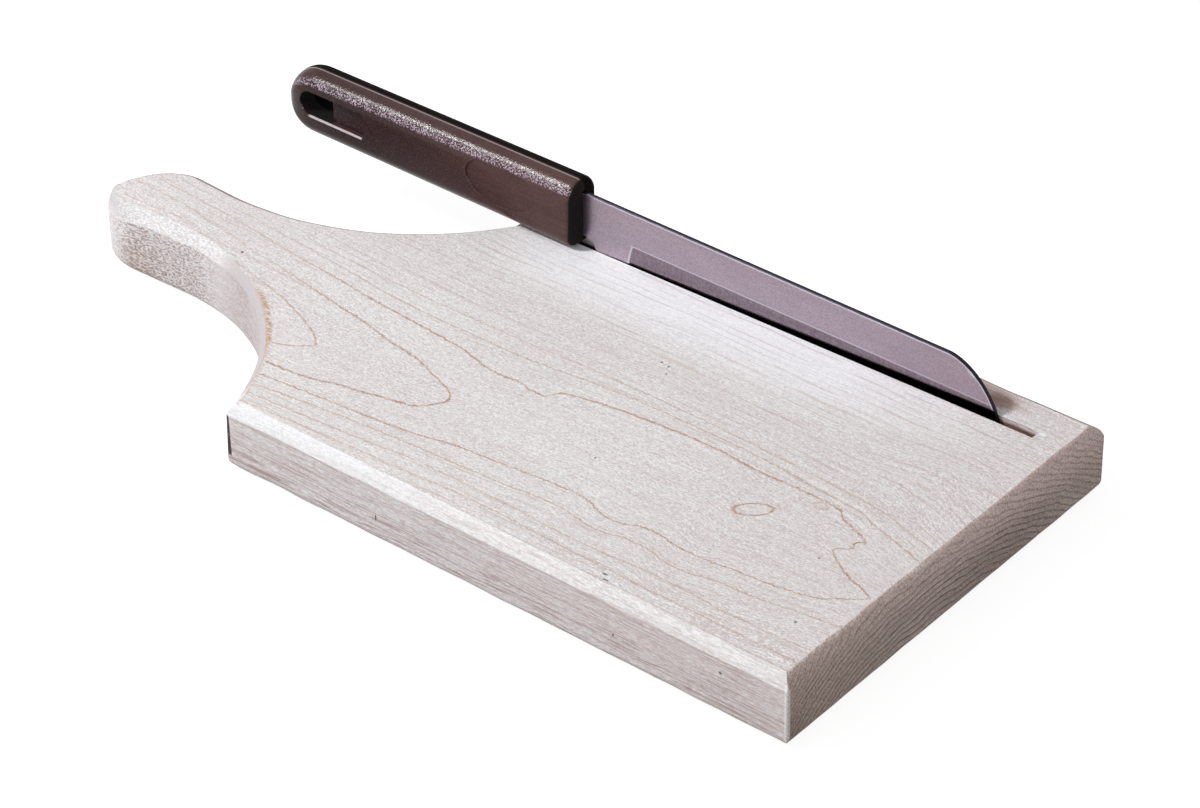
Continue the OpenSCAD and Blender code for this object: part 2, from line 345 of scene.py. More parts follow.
def make_board():
    """The sawn and sanded board, with hand-eased edges that are a little uneven."""
    outline = board_outline()
    steps = 10
    rings = []
    bottom = [(90 * i / steps) for i in range(steps, -1, -1)]
    top = [(90 * i / steps) for i in range(steps + 1)]

    def level(angle, at_top, spare=0.0):
        a = math.radians(angle)
        ring = []
        for stretch in outline:
            reach, drop, fullness = stretch.ease if at_top else BOTTOM_EASE
            place = drawn_in(stretch, 0.0, at_top)
            sway = noise.noise(Vector((place.x * 0.09, place.y * 0.09, 3.0 if at_top else 9.0)))
            sway = 1 + 0.45 / reach * sway
            p = drawn_in(stretch, reach * sway * (1 - math.cos(a) ** (2 / fullness)) + spare, at_top)
            fall = drop * sway * (1 - math.sin(a) ** (2 / fullness))
            height = BOARD_T - fall if at_top else fall
            # the saw leaned a little as it left the near left corner
            lean = max(0.0, 1 - abs(place.x) / 12) * max(0.0, 1 - place.y / 10) * (1 - height / BOARD_T)
            ring.append((p.x - SAW_LEAN * lean - BODY_L / 2, p.y - BODY_W / 2, height))
        return ring

    rings.append(level(90, False, 0.8))
    for angle in bottom:
        rings.append(level(angle, False))
    for angle in top:
        rings.append(level(angle, True))
    rings.append(level(90, True, 0.6))
    thing = mesh_object("maple_board", *loft(rings))
    mend(thing)
    floor = BOARD_T - SLOT_DEPTH
    saw_x = SLOT_END - math.sqrt(2 * SAW_R * SLOT_DEPTH - SLOT_DEPTH * SLOT_DEPTH)
    profile = [(-2.0, floor)]
    for i in range(33):
        a = math.radians(-90 + 50 * i / 32)
        profile.append((saw_x + SAW_R * math.cos(a), floor + SAW_R + SAW_R * math.sin(a)))
    profile.append((-2.0, profile[-1][1]))
    turn = Matrix.Rotation(SLOT_SKEW, 4, "Z")
    place = Matrix.Translation((-BODY_L / 2, SLOT_Y - BODY_W / 2, 0)) @ turn
    cut_away(thing, [extruded("saw_cut", profile, 0.0, KERF, place)])
    mend(thing, 0.002)
    smooth(thing, 15)
    return thing


# ---- the knife, drawn with its handle's front underside at the origin and the blade in X and Z ----

KNIFE_PLACE = (
    Matrix.Translation(Vector((-BODY_L / 2, SLOT_Y - BODY_W / 2, 0)) * MM)
    @ Matrix.Rotation(SLOT_SKEW, 4, "Z")
    @ Matrix.Translation(Vector((KNIFE_X, KNIFE_Y, KNIFE_Z)) * MM)
    @ Matrix.Rotation(LEAN, 4, "Z")
    @ Matrix.Rotation(TILT, 4, "Y")
)


def power_round(t, power):
    """Falls from 1 to 0 as t goes from 0 to 1, along a squared-up circle."""
    return max(0.0, 1 - t ** power) ** (1 / power)


def grip_height(u):
    return GRIP_H + GRIP_TAPER * u / GRIP_L


def grip_rings():
    """Stations along the handle: place, underside, top and half thickness."""
    rings = []
    steps = 26
    for i in range(steps, -1, -1):
        t = math.sin(math.pi / 2 * i / steps)
        u = -GRIP_L + GRIP_END * (1 - t)
        middle = grip_height(u) / 2
        below = max(0.6, middle * power_round(t, 2.2))
        above = max(0.6, middle * power_round(t, 1.95))
        rings.append((u, middle - below, middle + above, max(0.4, GRIP_T / 2 * power_round(t, 3.2))))
    first = -GRIP_L + GRIP_END
    last = -GRIP_NOSE
    for i in range(1, 46):
        u = first + (last - first) * i / 46
        rings.append((u, 0.0, grip_height(u), GRIP_T / 2))
    steps = 8
    for i in range(steps + 1):
        a = math.pi / 2 * i / steps
        drop = GRIP_NOSE * (1 - math.cos(a))
        u = -GRIP_NOSE * (1 - math.sin(a))
        rings.append((u, drop, grip_height(u) - drop, GRIP_T / 2 - drop))
    return rings


def grip_section(station):
    """Round over the top, flat at the sides and eased at the two lower edges."""
    u, low, high, w = station
    tall = high - low
    crown = min(w, tall / 2)
    ry = min(GRIP_ROUND, w * 0.9)
    rz = min(GRIP_ROUND, tall / 2 * 0.9)
    ring = []

    def bend(y, z, reach_y, reach_z, start, end, steps):
        for i in range(steps + 1):
            a = math.radians(start + (end - start) * i / steps)
            ring.append((u, y + reach_y * math.cos(a), z + reach_z * math.sin(a)))

    bend(0.0, high - crown, w, crown, 0, 180, 48)
    bend(ry - w, low + rz, ry, rz, 180, 270, 12)
    bend(w - ry, low + rz, ry, rz, 270, 360, 12)
    return ring


def hanging_outline():
    """The hanging hole as it shows from the side: round at the end, square at the front."""
    end = -GRIP_L + HANG_MARGIN
    r = HANG_H / 2
    outline = [(end + HANG_L, HANG_Z - r), (end + HANG_L, HANG_Z + r)]
    for i in range(25):
        a = math.radians(90 + 180 * i / 24)
        outline.append((end + r + r * math.cos(a), HANG_Z + r * math.sin(a)))
    return outline


def recess_outline():
    """The shallow recess from the hole's middle forwards, with small round corners."""
    start = -GRIP_L + HANG_MARGIN + HANG_H / 2
    end = -GRIP_L + HANG_MARGIN + HANG_L + RECESS_L
    r = HANG_H / 2
    soft = 1.2
    outline = [(start, HANG_Z + r), (start, HANG_Z - r)]
    for i in range(7):
        a = math.radians(-90 + 90 * i / 6)
        outline.append((end - soft + soft * math.cos(a), HANG_Z - r + soft + soft * math.sin(a)))
    for i in range(7):
        a = math.radians(90 * i / 6)
        outline.append((end - soft + soft * math.cos(a), HANG_Z + r - soft + soft * math.sin(a)))
    return outline


def thumb_outline():
    outline = []
    for i in range(72):
        a = math.radians(-360 * i / 72)
        outline.append((-THUMB_X + THUMB_L / 2 * math.cos(a), THUMB_Z + THUMB_H / 2 * math.sin(a)))
    return outline


def make_grip_half(name, side):
    """One moulded half of the handle: side -1 is the near one."""
    thing = mesh_object(name, *loft([grip_section(r) for r in grip_rings()]))
    mend(thing)
    half = BLADE_T / 2 + 0.1
    out = side * GRIP_T
    other = [(-120, -10), (10, -10), (10, 30), (-120, 30)]
    tang = [(-TANG_L - 0.1, TANG_Z - 0.1), (1, TANG_Z - 0.1), (1, TANG_Z + TANG_H + 0.1),
            (-TANG_L - 0.1, TANG_Z + TANG_H + 0.1)]
    neck = [(-NECK_IN - 0.1, NECK_Z - 0.1), (2, NECK_Z - 0.1), (2, SPINE_Z + 0.1),
            (-NECK_IN - 0.1, SPINE_Z + 0.1)]
    recess_face = side * (GRIP_T / 2 - RECESS_D)
    thumb_face = side * (GRIP_T / 2 - THUMB_D)
    cutters = [
        extruded("other_half", other, *sorted((-out, 0.0))),
        extruded("hole", hanging_outline(), *sorted((-out, out))),
        extruded("recess", recess_outline(), *sorted((recess_face, out))),
        extruded("thumb", thumb_outline(), *sorted((thumb_face, out))),
        extruded("tang_room", tang, -half, half),
        extruded("neck_room", neck, -half, half),
    ]
    cut_away(thing, cutters)
    mend(thing, 0.002)
    bevel(thing, 0.45, 1, 42)
    smooth(thing, 30)
    thing.data.transform(KNIFE_PLACE)
    return thing


def blade_top(u):
    """Height of the blade's upper outline: the spine, then the curve down to the point."""
    along = (u - (BLADE_L - TIP_L)) / TIP_L
    if along <= 0:
        return SPINE_Z
    return EDGE_Z + BLADE_H * power_round(min(along, 1.0), TIP_POWER)


def blade_bottom(u):
    """Height of the blade's lower outline: neck, choil and cutting edge."""
    if u <= NECK_L:
        return NECK_Z
    if u >= NECK_L + CHOIL_L:
        return EDGE_Z
    t = (u - NECK_L) / CHOIL_L
    return EDGE_Z + (NECK_Z - EDGE_Z) * math.sqrt(max(0.0, 1 - t * t))


def blade_half_thickness(u, w):
    """The blade is flat above and ground to a bevel below, with a curved start near the heel."""
    if w >= EDGE_Z + BEVEL_H:
        return BLADE_T / 2
    ground = EDGE_T / 2 + (BLADE_T - EDGE_T) / 2 * max(0.0, w - EDGE_Z) / BEVEL_H
    high = (w - EDGE_Z) / BEVEL_H
    start = BEVEL_START - 0.4 + 1.8 * high * high
    run = min(1.0, max(0.0, (u - start) / 1.4))
    return BLADE_T / 2 + (ground - BLADE_T / 2) * run * run * (3 - 2 * run)


def blade_station(u, low, high):
    """One section of the blade, from its underside up the far face and down the near face."""
    shoulder = EDGE_Z + BEVEL_H
    levels = []
    split = min(high, max(low, shoulder))
    for i in range(9):
        levels.append(low + (split - low) * i / 9)
    for i in range(9):
        levels.append(split + (high - 0.12 - split) * i / 8 if high - 0.12 > split else split)
    far_face = [(u, blade_half_thickness(u, w), w) for w in levels]
    crown = min(0.12, max(0.0, high - split))
    top = blade_half_thickness(u, high)
    far_face.append((u, max(0.02, top - crown), high))
    near_face = [(p[0], -p[1], p[2]) for p in reversed(far_face)]
    return far_face + near_face


def make_blade():
    """The stamped and ground strip of steel, with its tang."""
    stations = [blade_station(-TANG_L, TANG_Z, TANG_Z + TANG_H)]
    stations.append(blade_station(-NECK_IN, TANG_Z, TANG_Z + TANG_H))
    stations.append(blade_station(-NECK_IN, NECK_Z, SPINE_Z))
    places = [0.0, NECK_L]
    places += [NECK_L + CHOIL_L * math.sin(math.pi / 2 * i / 16) for i in range(1, 17)]
    places += [NECK_L + CHOIL_L + 0.5 * i for i in range(1, 33)]
    places += [22.0 + 2.0 * i for i in range(50)]
    tip = BLADE_L - TIP_L
    places += [tip + TIP_L * (1 - (1 - i / 56) ** 1.8) for i in range(57)]
    for u in places:
        low = blade_bottom(u)
        high = max(blade_top(u), low + 0.05)
        stations.append(blade_station(u, low, high))
    thing = mesh_object("knife_blade", *loft(stations))
    mend(thing, 0.004)
    smooth(thing, 12)
    thing.data.transform(KNIFE_PLACE)
    return thing


# ---- shader helpers ----

class Bench:
    """Adds nodes to one shader tree."""

    def __init__(self, tree):
        self.tree = tree

    def feed(self, socket, value):
        if isinstance(value, bpy.types.NodeSocket):
            self.tree.links.new(value, socket)
        else:
            socket.default_value = value

    def add(self, kind, inputs=None, **settings):
        node = self.tree.nodes.new(kind)
        for name, value in settings.items():
            setattr(node, name, value)
        for name, value in (inputs or {}).items():
            self.feed(node.inputs[name], value)
        return node

    def sum(self, operation, *values):
        node = self.add("ShaderNodeMath", operation=operation)
        for socket, value in zip(node.inputs, values):
            self.feed(socket, value)
        return node.outputs[0]

    def ramp(self, value, low, high, at_low=0.0, at_high=1.0):
        """A soft step from at_low to at_high."""
        inputs = {"Value": value, "From Min": low, "From Max": high, "To Min": at_low, "To Max": at_high}
        node = self.add("ShaderNodeMapRange", inputs, interpolation_type="SMOOTHSTEP")
        return node.outputs["Result"]

    def scaled(self, value, low, high, at_low, at_high):
        """A straight change of range."""
        inputs = {"Value": value, "From Min": low, "From Max": high, "To Min": at_low, "To Max": at_high}
        node = self.add("ShaderNodeMapRange", inputs, clamp=False)
        return node.outputs["Result"]

    def mix(self, factor, a, b, how="MIX"):
        node = self.add("ShaderNodeMix", data_type="RGBA", blend_type=how)
        self.feed(node.inputs[0], factor)
        self.feed(node.inputs[6], a)
        self.feed(node.inputs[7], b)
        return node.outputs[2]

    def blend(self, factor, a, b):
        node = self.add("ShaderNodeMix", data_type="FLOAT")
        self.feed(node.inputs[0], factor)
        self.feed(node.inputs[2], a)
        self.feed(node.inputs[3], b)
        return node.outputs[0]

    def vector(self, operation, a, b=None, c=None):
        node = self.add("ShaderNodeVectorMath", operation=operation)
        self.feed(node.inputs[0], a)
        if b is not None:
            self.feed(node.inputs[1], b)
        if c is not None:
            self.feed(node.inputs[2], c)
        return node.outputs[0] if operation != "LENGTH" else node.outputs["Value"]

    def split(self, value):
        node = self.add("ShaderNodeSeparateXYZ", {"Vector": value})
        return node.outputs[0], node.outputs[1], node.outputs[2]

    def join(self, x, y, z):
        return self.add("ShaderNodeCombineXYZ", {"X": x, "Y": y, "Z": z}).outputs[0]

    def noise(self, place, scale, detail=2.0, rough=0.5):
        inputs = {"Vector": place, "Scale": scale, "Detail": detail, "Roughness": rough}
        return self.add("ShaderNodeTexNoise", inputs).outputs[0]

    def use(self, group, **inputs):
        node = self.add("ShaderNodeGroup", node_tree=group)
        for name, value in inputs.items():
            self.feed(node.inputs[name], value)
        return node.outputs[0]


def make_group(name, inputs, output, build):
    """A shader group with named sockets and one output."""
    group = bpy.data.node_groups.new(name, "ShaderNodeTree")
    for label, kind, value in inputs:
        socket = group.interface.new_socket(label, in_out="INPUT", socket_type="NodeSocket" + kind)
        socket.default_value = value
    group.interface.new_socket(output, in_out="OUTPUT", socket_type="NodeSocketFloat")
    bench = Bench(group)
    source = bench.add("NodeGroupInput")
    sink = bench.add("NodeGroupOutput")
    bench.feed(sink.inputs[0], build(bench, source.outputs))
    return group


def grain_nodes(bench, given):
    size = bench.join(given["Length"], given["Width"], given["Depth"])
    place = bench.vector("DIVIDE", given["Place"], size)
    place = bench.vector("ADD", place, bench.join(given["Seed"], given["Seed"], given["Seed"]))
    return bench.noise(place, 1.0, 3.0, 0.55)


GRAIN = make_group(
    "stretched_grain",
    [("Place", "Vector", (0, 0, 0)), ("Length", "Float", 10.0), ("Width", "Float", 1.0),
     ("Depth", "Float", 1.0), ("Seed", "Float", 0.0)],
    "Value", grain_nodes)


def fleck_nodes(bench, given):
    gap = bench.vector("SUBTRACT", given["Place"], given["Spot"])
    gap = bench.vector("DIVIDE", gap, given["Reach"])
    ragged = bench.scaled(bench.noise(given["Place"], 2.2, 2.0), 0.0, 1.0, -0.45, 0.45)
    far = bench.sum("ADD", bench.vector("LENGTH", gap), ragged)
    return bench.ramp(far, 0.55, 1.05, 1.0, 0.0)


FLECK = make_group(
    "fleck",
    [("Place", "Vector", (0, 0, 0)), ("Spot", "Vector", (0, 0, 0)), ("Reach", "Vector", (1, 1, 1))],
    "Mask", fleck_nodes)


def line_nodes(bench, given):
    off = bench.sum("ABSOLUTE", bench.sum("SUBTRACT", given["Across"], given["Line"]))
    core = bench.sum("MULTIPLY", given["Width"], 0.3)
    inputs = {"Value": off, "From Min": core, "From Max": given["Width"], "To Min": 1.0, "To Max": 0.0}
    mask = bench.add("ShaderNodeMapRange", inputs, interpolation_type="SMOOTHSTEP").outputs["Result"]
    begun = bench.ramp(bench.sum("SUBTRACT", given["Along"], given["Start"]), -0.4, 0.4)
    ended = bench.ramp(bench.sum("SUBTRACT", given["End"], given["Along"]), -0.4, 0.4)
    return bench.sum("MULTIPLY", mask, bench.sum("MULTIPLY", begun, ended))


LINE = make_group(
    "drawn_line",
    [("Along", "Float", 0.0), ("Across", "Float", 0.0), ("Line", "Float", 0.0), ("Start", "Float", 0.0),
     ("End", "Float", 1.0), ("Width", "Float", 0.5)],
    "Mask", line_nodes)


def along_knife(bench):
    """Place in the knife's own axes, in millimetres."""
    back = KNIFE_PLACE.inverted()
    coords = bench.add("ShaderNodeTexCoord")
    turned = bench.add("ShaderNodeMapping", {
        "Vector": coords.outputs["Object"],
        "Location": back.translation,
        "Rotation": back.to_euler(),
    })
    return bench.vector("MULTIPLY", turned.outputs[0], (1000, 1000, 1000))


def new_material(name, colour):
    """A material with its Principled shader; colour is what plain viewers show."""
    material = bpy.data.materials.new(name)
    material.use_nodes = True
    material.diffuse_color = (*colour, 1.0)
    bench = Bench(material.node_tree)
    shader = next(n for n in material.node_tree.nodes if n.type == "BSDF_PRINCIPLED")
    return material, bench, shader


def drawn_curve(bench, along, points):
    """A drawn line: its place across as a curve of its place along."""
    xs = [p[0] for p in points]
    ys = [p[1] for p in points]
    low = min(ys) - 1.0
    high = max(ys) + 1.0
    start = min(xs)
    end = max(xs)
    t = bench.scaled(along, start, end, 0.0, 1.0)
    node = bench.add("ShaderNodeFloatCurve", {"Value": t})
    curve = node.mapping.curves[0]
    spots = sorted(((x - start) / (end - start), (y - low) / (high - low)) for x, y in points)
    curve.points[0].location = spots[0]
    curve.points[1].location = spots[-1]
    for spot in spots[1:-1]:
        curve.points.new(*spot)
    node.mapping.update()
    return bench.scaled(node.outputs[0], 0.0, 1.0, low, high), start, end


def drawn_line(bench, along, across, points, width):
    line, start, end = drawn_curve(bench, along, points)
    return bench.use(LINE, Along=along, Across=across, Line=line, Start=start, End=end, Width=width)


def strongest(bench, masks):
    """The highest of several masks, each with its weight."""
    total = None
    for mask, weight in masks:
        part = bench.sum("MULTIPLY", mask, weight)
        total = part if total is None else bench.sum("MAXIMUM", total, part)
    return total


# ---- maple ----

def maple():
    material, bench, shader = new_material("bare_maple", (0.75, 0.71, 0.68))
    coords = bench.add("ShaderNodeTexCoord")
    place = bench.vector("MULTIPLY_ADD", coords.outputs["Object"], (1000, 1000, 1000),
                         (BODY_L / 2, BODY_W / 2, 0))
    x, y, z = bench.split(place)
    facing_x, facing_y, facing_z = bench.split(coords.outputs["Normal"])
    on_top = bench.ramp(facing_z, 0.3, 0.8)
    below = bench.ramp(facing_z, -0.8, -0.3, 1.0, 0.0)
    on_facet = bench.ramp(facing_x, 0.12, 0.45)
    on_end = bench.ramp(facing_x, 0.62, 0.95)

    # Fine grain follows the drawn rings: a sway for each side of the figure
    high_sway, _, _ = drawn_curve(bench, x, [
        (-105, 3.0), (-60, 2.6), (-15, 1.0), (3, -0.8), (20, -1.2), (40, -0.8), (60, 0.2), (80, 2.2),
        (100, 2.5), (125, 2.3), (145, 0.7), (160, -0.5), (167, -3.0), (175, -5.0), (188, -9.5)])
    low_sway, _, _ = drawn_curve(bench, x, [
        (-10, -6.0), (20, -3.8), (40, -2.5), (60, -1.0), (80, 0.0), (100, 1.4), (106, 0.7), (113, 0.0),
        (121, 1.5), (129, 1.5), (137, 0.0), (150, 2.0), (165, 3.2), (173, 4.7), (188, 6.8)])
    hump_run = bench.sum("DIVIDE", bench.sum("SUBTRACT", x, 168.0), 13.0)
    hump = bench.sum("EXPONENT", bench.sum("MULTIPLY", bench.sum("MULTIPLY", hump_run, hump_run), -1.0))
    hump_band = bench.sum("DIVIDE", bench.sum("SUBTRACT", y, 92.0), 12.0)
    hump_band = bench.sum("EXPONENT", bench.sum("MULTIPLY", bench.sum("MULTIPLY", hump_band, hump_band), -1.0))
    hump = bench.sum("MULTIPLY", bench.sum("MULTIPLY", hump, hump_band), 3.2)
    high_sway = bench.sum("MULTIPLY", high_sway, bench.ramp(y, 66.0, 96.0, 1.0, 0.12))
    high_sway = bench.sum("ADD", high_sway, hump)
    low_sway = bench.sum("MULTIPLY", low_sway, bench.ramp(y, 0.0, 18.0, 0.25, 1.0))
    sway = bench.blend(bench.ramp(y, 26.0, 64.0), low_sway, high_sway)
    wander = bench.scaled(bench.noise(bench.vector("MULTIPLY", place, (0.03, 0.06, 0.05)), 1.0, 1.0),
                          0.0, 1.0, -1.6, 1.6)
    across = bench.sum("SUBTRACT", bench.sum("SUBTRACT", y, sway), wander)
    flow = bench.join(x, across, z)
    long_grain = bench.use(GRAIN, Place=flow, Length=38.0, Width=1.25, Depth=1.4, Seed=3.0)
    short_grain = bench.use(GRAIN, Place=flow, Length=7.0, Width=0.42, Depth=0.5, Seed=11.0)
    speckle = bench.use(GRAIN, Place=flow, Length=1.1, Width=0.26, Depth=0.30, Seed=23.0)
    dust = bench.use(GRAIN, Place=flow, Length=0.8, Width=0.26, Depth=0.30, Seed=61.0)
    threads = bench.use(GRAIN, Place=flow, Length=17.0, Width=0.44, Depth=0.5, Seed=97.0)
    dashes = bench.use(GRAIN, Place=flow, Length=4.5, Width=0.30, Depth=0.4, Seed=71.0)
    cloud = bench.use(GRAIN, Place=place, Length=60.0, Width=26.0, Depth=30.0, Seed=31.0)

    # Regular faint rings in the straight-grained parts
    ring_phase = bench.sum("DIVIDE", across, 2.55)
    ring_phase = bench.sum("ADD", ring_phase, bench.scaled(long_grain, 0.0, 1.0, -0.35, 0.35))
    ring_off = bench.sum("ABSOLUTE", bench.sum("SUBTRACT", bench.sum("FRACT", ring_phase), 0.5))
    faint_rings = bench.ramp(ring_off, 0.02, 0.20, 1.0, 0.0)
    patchy = bench.use(GRAIN, Place=flow, Length=26.0, Width=2.3, Depth=2.0, Seed=41.0)
    faint_rings = bench.sum("MULTIPLY", faint_rings, bench.ramp(patchy, 0.40, 0.62))
    straight_part = bench.sum("MAXIMUM", bench.ramp(y, 62.0, 72.0), bench.ramp(y, 16.0, 24.0, 1.0, 0.0))
    paddle_part = bench.ramp(x, -30.0, 0.0, 1.0, 0.0)
    straight_part = bench.sum("MAXIMUM", straight_part, paddle_part)
    faint_rings = bench.sum("MULTIPLY", faint_rings, straight_part)

    # The figure on the top: three nested loops, the lines round them, a closed loop and an eye
    tremble = bench.scaled(bench.noise(bench.vector("MULTIPLY", place, (0.75, 0.35, 0.1)), 1.0, 3.0, 0.7),
                           0.0, 1.0, -0.8, 0.8)
    jagged = bench.scaled(bench.noise(bench.vector("MULTIPLY", place, (2.4, 0.6, 0.1)), 1.0, 2.0, 0.7),
                          0.0, 1.0, -0.55, 0.55)
    tremble = bench.sum("ADD", tremble, jagged)
    ay = bench.sum("SUBTRACT", y, tremble)
    ax = bench.sum("SUBTRACT", x, tremble)
    figure = [
        (drawn_line(bench, x, ay, [(-96, 57), (-84, 57.3), (-74, 58), (-66, 57), (-62, 55), (-55, 52.2),
                                   (-45, 50.8), (-35, 49), (-20, 45.2), (-13, 42.5), (-6, 39.5),
                                   (-2, 37), (0.5, 34.6)], 0.45), 0.75),
        (drawn_line(bench, x, ay, [(-10, 28.2), (-7, 29.2), (-3, 31.5), (0.5, 34.6)], 0.45), 0.7),
        (drawn_line(bench, x, ay, [(-100, 64.5), (-76, 63.5), (-65, 61.5), (-53, 60), (-47, 58.3),
                                   (-35, 57), (-23, 55.2), (-10, 53), (1, 51.5), (15, 48.6), (24, 47.2),
                                   (29, 46), (34.5, 44), (39, 42.5), (43.5, 40.4)], 0.46), 0.8),
        (drawn_line(bench, ay, x, [(31.2, 42.2), (34.5, 44.6), (37, 45.8), (39, 45.2), (40.6, 43.2)],
                    0.55), 1.0),
        (drawn_line(bench, x, ay, [(-5, 20.5), (10, 22.2), (17, 24.5), (25, 26), (35, 28.5), (39, 29.3),
                                   (42.4, 31.4)], 0.50), 0.9),
        (drawn_line(bench, x, ay, [(-105, 70), (-60, 67), (-35, 64), (-17, 62.5), (-5, 61), (15, 59.5),
                                   (33, 58), (39, 56.5), (50, 55), (56, 55.6), (60, 54.5), (64.4, 54.8),
                                   (66, 57), (70, 59.5), (80, 61.5), (90, 62.8), (116, 64.2),
                                   (130, 63.3), (150, 63.5), (157, 62.8), (158.6, 60.8), (163, 59),
                                   (168, 57), (170, 55.8)], 0.50), 0.8),
        (drawn_line(bench, ay, x, [(48.7, 165), (50, 166.4), (52, 168.6), (54, 168), (55.9, 170)],
                    0.41), 0.85),
        (drawn_line(bench, x, ay, [(165, 48.7), (167, 46.5), (171, 44), (175, 41.8), (180, 40.2),
                                   (184.5, 38.1)], 0.41), 0.85),
        (drawn_line(bench, x, ay, [(-2, 15.3), (15, 17), (35, 18.8), (50, 20.7), (60, 23), (80, 25),
                                   (100, 26.5), (104, 26), (109, 24.2), (113, 23.5), (117, 24),
                                   (120, 25.5), (125, 26.3), (136, 25), (150, 26.2), (160, 27.3),
                                   (168, 28.5), (173, 29.8), (178, 33), (182, 36), (184.5, 38.1)],
                    0.38), 0.8),
        (drawn_line(bench, x, ay, [(-105, 74), (-60, 71), (-15, 67), (3, 65.2), (20, 64.8), (50, 65.2),
                                   (70, 67.3), (90, 68.5), (125, 68.3), (145, 66.7), (160, 65.5),
                                   (167, 63), (175, 61), (188, 56.4)], 0.34), 0.6),
        (drawn_line(bench, x, ay, [(-40, 73), (0, 70.8), (40, 71), (70, 72.2), (110, 72), (144, 70.5),
                                   (165, 69), (173, 67), (180, 65), (188, 62.7)], 0.34), 0.5),
        (drawn_line(bench, x, ay, [(0, 11), (40, 15.5), (80, 18), (100, 19.5), (106, 18.7), (113, 18),
                                   (121, 19.6), (128, 19.7), (137, 18), (150, 20), (165, 21.2),
                                   (173, 22.7), (188, 24.9)], 0.35), 0.6),
        (drawn_line(bench, x, ay, [(0, 7), (20, 8.5), (40, 10), (60, 11.8), (87, 12), (110, 11.3),
                                   (140, 12.5), (163, 11.7), (188, 13.1)], 0.35), 0.5),
        (drawn_line(bench, x, ay, [(0, 3), (25, 5), (60, 6.8), (80, 7.8), (120, 7), (188, 7)],
                    0.35), 0.5),
    ]
    turn = math.radians(38)
    across_loop = bench.vector("SUBTRACT", bench.join(ax, ay, 0.0), (139.0, 49.3, 0.0))
    lx, ly, _ = bench.split(across_loop)
    along = bench.sum("ADD", bench.sum("MULTIPLY", lx, math.cos(turn)), bench.sum("MULTIPLY", ly, math.sin(turn)))
    over = bench.sum("SUBTRACT", bench.sum("MULTIPLY", ly, math.cos(turn)), bench.sum("MULTIPLY", lx, math.sin(turn)))
    oval = bench.vector("LENGTH", bench.join(bench.sum("DIVIDE", along, 5.2), bench.sum("DIVIDE", over, 2.5), 0.0))
    figure.append((bench.ramp(bench.sum("ABSOLUTE", bench.sum("SUBTRACT", oval, 1.0)), 0.04, 0.16, 1.0, 0.0), 0.8))
    eye = bench.vector("LENGTH", bench.vector("DIVIDE", bench.vector("SUBTRACT", bench.join(ax, ay, 0.0), (151.5, 61.2, 0.0)), (2.2, 1.6, 1.0)))
    figure.append((bench.ramp(bench.sum("ABSOLUTE", bench.sum("SUBTRACT", eye, 0.8)), 0.1, 0.35, 1.0, 0.0), 0.35))
    figure = strongest(bench, figure)
    broken = bench.use(GRAIN, Place=place, Length=2.2, Width=1.6, Depth=1.0, Seed=83.0)
    figure = bench.sum("MULTIPLY", figure, bench.ramp(broken, 0.32, 0.60, 0.6, 1.25))
    figure = bench.sum("MULTIPLY", figure, bench.ramp(x, -50.0, 5.0, 0.42, 1.0))
    figure = bench.sum("MULTIPLY", figure, on_top)

    # The underside has its own arches
    arch = bench.sum("POWER", bench.sum("ABSOLUTE", bench.sum("SUBTRACT", y, 58.0)), 1.25)
    arch = bench.sum("ADD", bench.sum("MULTIPLY", arch, 0.085), bench.sum("MULTIPLY", x, 0.016))
    arch = bench.sum("ADD", arch, bench.scaled(cloud, 0.0, 1.0, -1.3, 1.3))
    arch_off = bench.sum("ABSOLUTE", bench.sum("SUBTRACT", bench.sum("FRACT", arch), 0.5))
    arches = bench.sum("MULTIPLY", bench.ramp(arch_off, 0.02, 0.09, 1.0, 0.0), below)

    # End grain: rings that arch over the middle and drop faster at the near corner
    far_off = bench.sum("MAXIMUM", bench.sum("SUBTRACT", y, 60.0), 0.0)
    near_off = bench.sum("MAXIMUM", bench.sum("SUBTRACT", 47.0, y), 0.0)
    far_drop = bench.sum("MULTIPLY", bench.sum("POWER", far_off, 2.0), 0.0046)
    near_drop = bench.sum("MULTIPLY", bench.sum("POWER", near_off, 2.0), 0.0087)
    ring_height = bench.sum("ADD", z, bench.sum("ADD", far_drop, near_drop))
    end_flow = bench.join(x, ring_height, bench.sum("MULTIPLY", y, 0.05))
    end_wobble = bench.noise(bench.join(0.0, bench.sum("MULTIPLY", y, 0.09), bench.sum("MULTIPLY", z, 0.14)), 1.0, 2.0)
    ring_height = bench.sum("ADD", ring_height, bench.scaled(end_wobble, 0.0, 1.0, -1.6, 1.6))
    end_tone = bench.use(GRAIN, Place=end_flow, Length=30.0, Width=0.7, Depth=0.6, Seed=5.0)
    ring_height = bench.sum("ADD", ring_height, bench.scaled(end_tone, 0.0, 1.0, -0.12, 0.12))
    end_phase = bench.sum("FRACT", bench.sum("DIVIDE", ring_height, 1.9))
    end_rings = bench.ramp(bench.sum("ABSOLUTE", bench.sum("SUBTRACT", end_phase, 0.5)), 0.03, 0.25, 1.0, 0.0)
    thin_phase = bench.sum("FRACT", bench.sum("ADD", bench.sum("DIVIDE", ring_height, 0.95), 0.3))
    thin_rings = bench.ramp(bench.sum("ABSOLUTE", bench.sum("SUBTRACT", thin_phase, 0.5)), 0.03, 0.25, 0.55, 0.0)
    end_rings = bench.sum("MAXIMUM", end_rings, bench.sum("MULTIPLY", thin_rings, bench.ramp(y, 20.0, 110.0, 1.0, 0.3)))
    end_rings = bench.sum("MULTIPLY", end_rings, bench.ramp(end_tone, 0.35, 0.6, 0.45, 1.0))
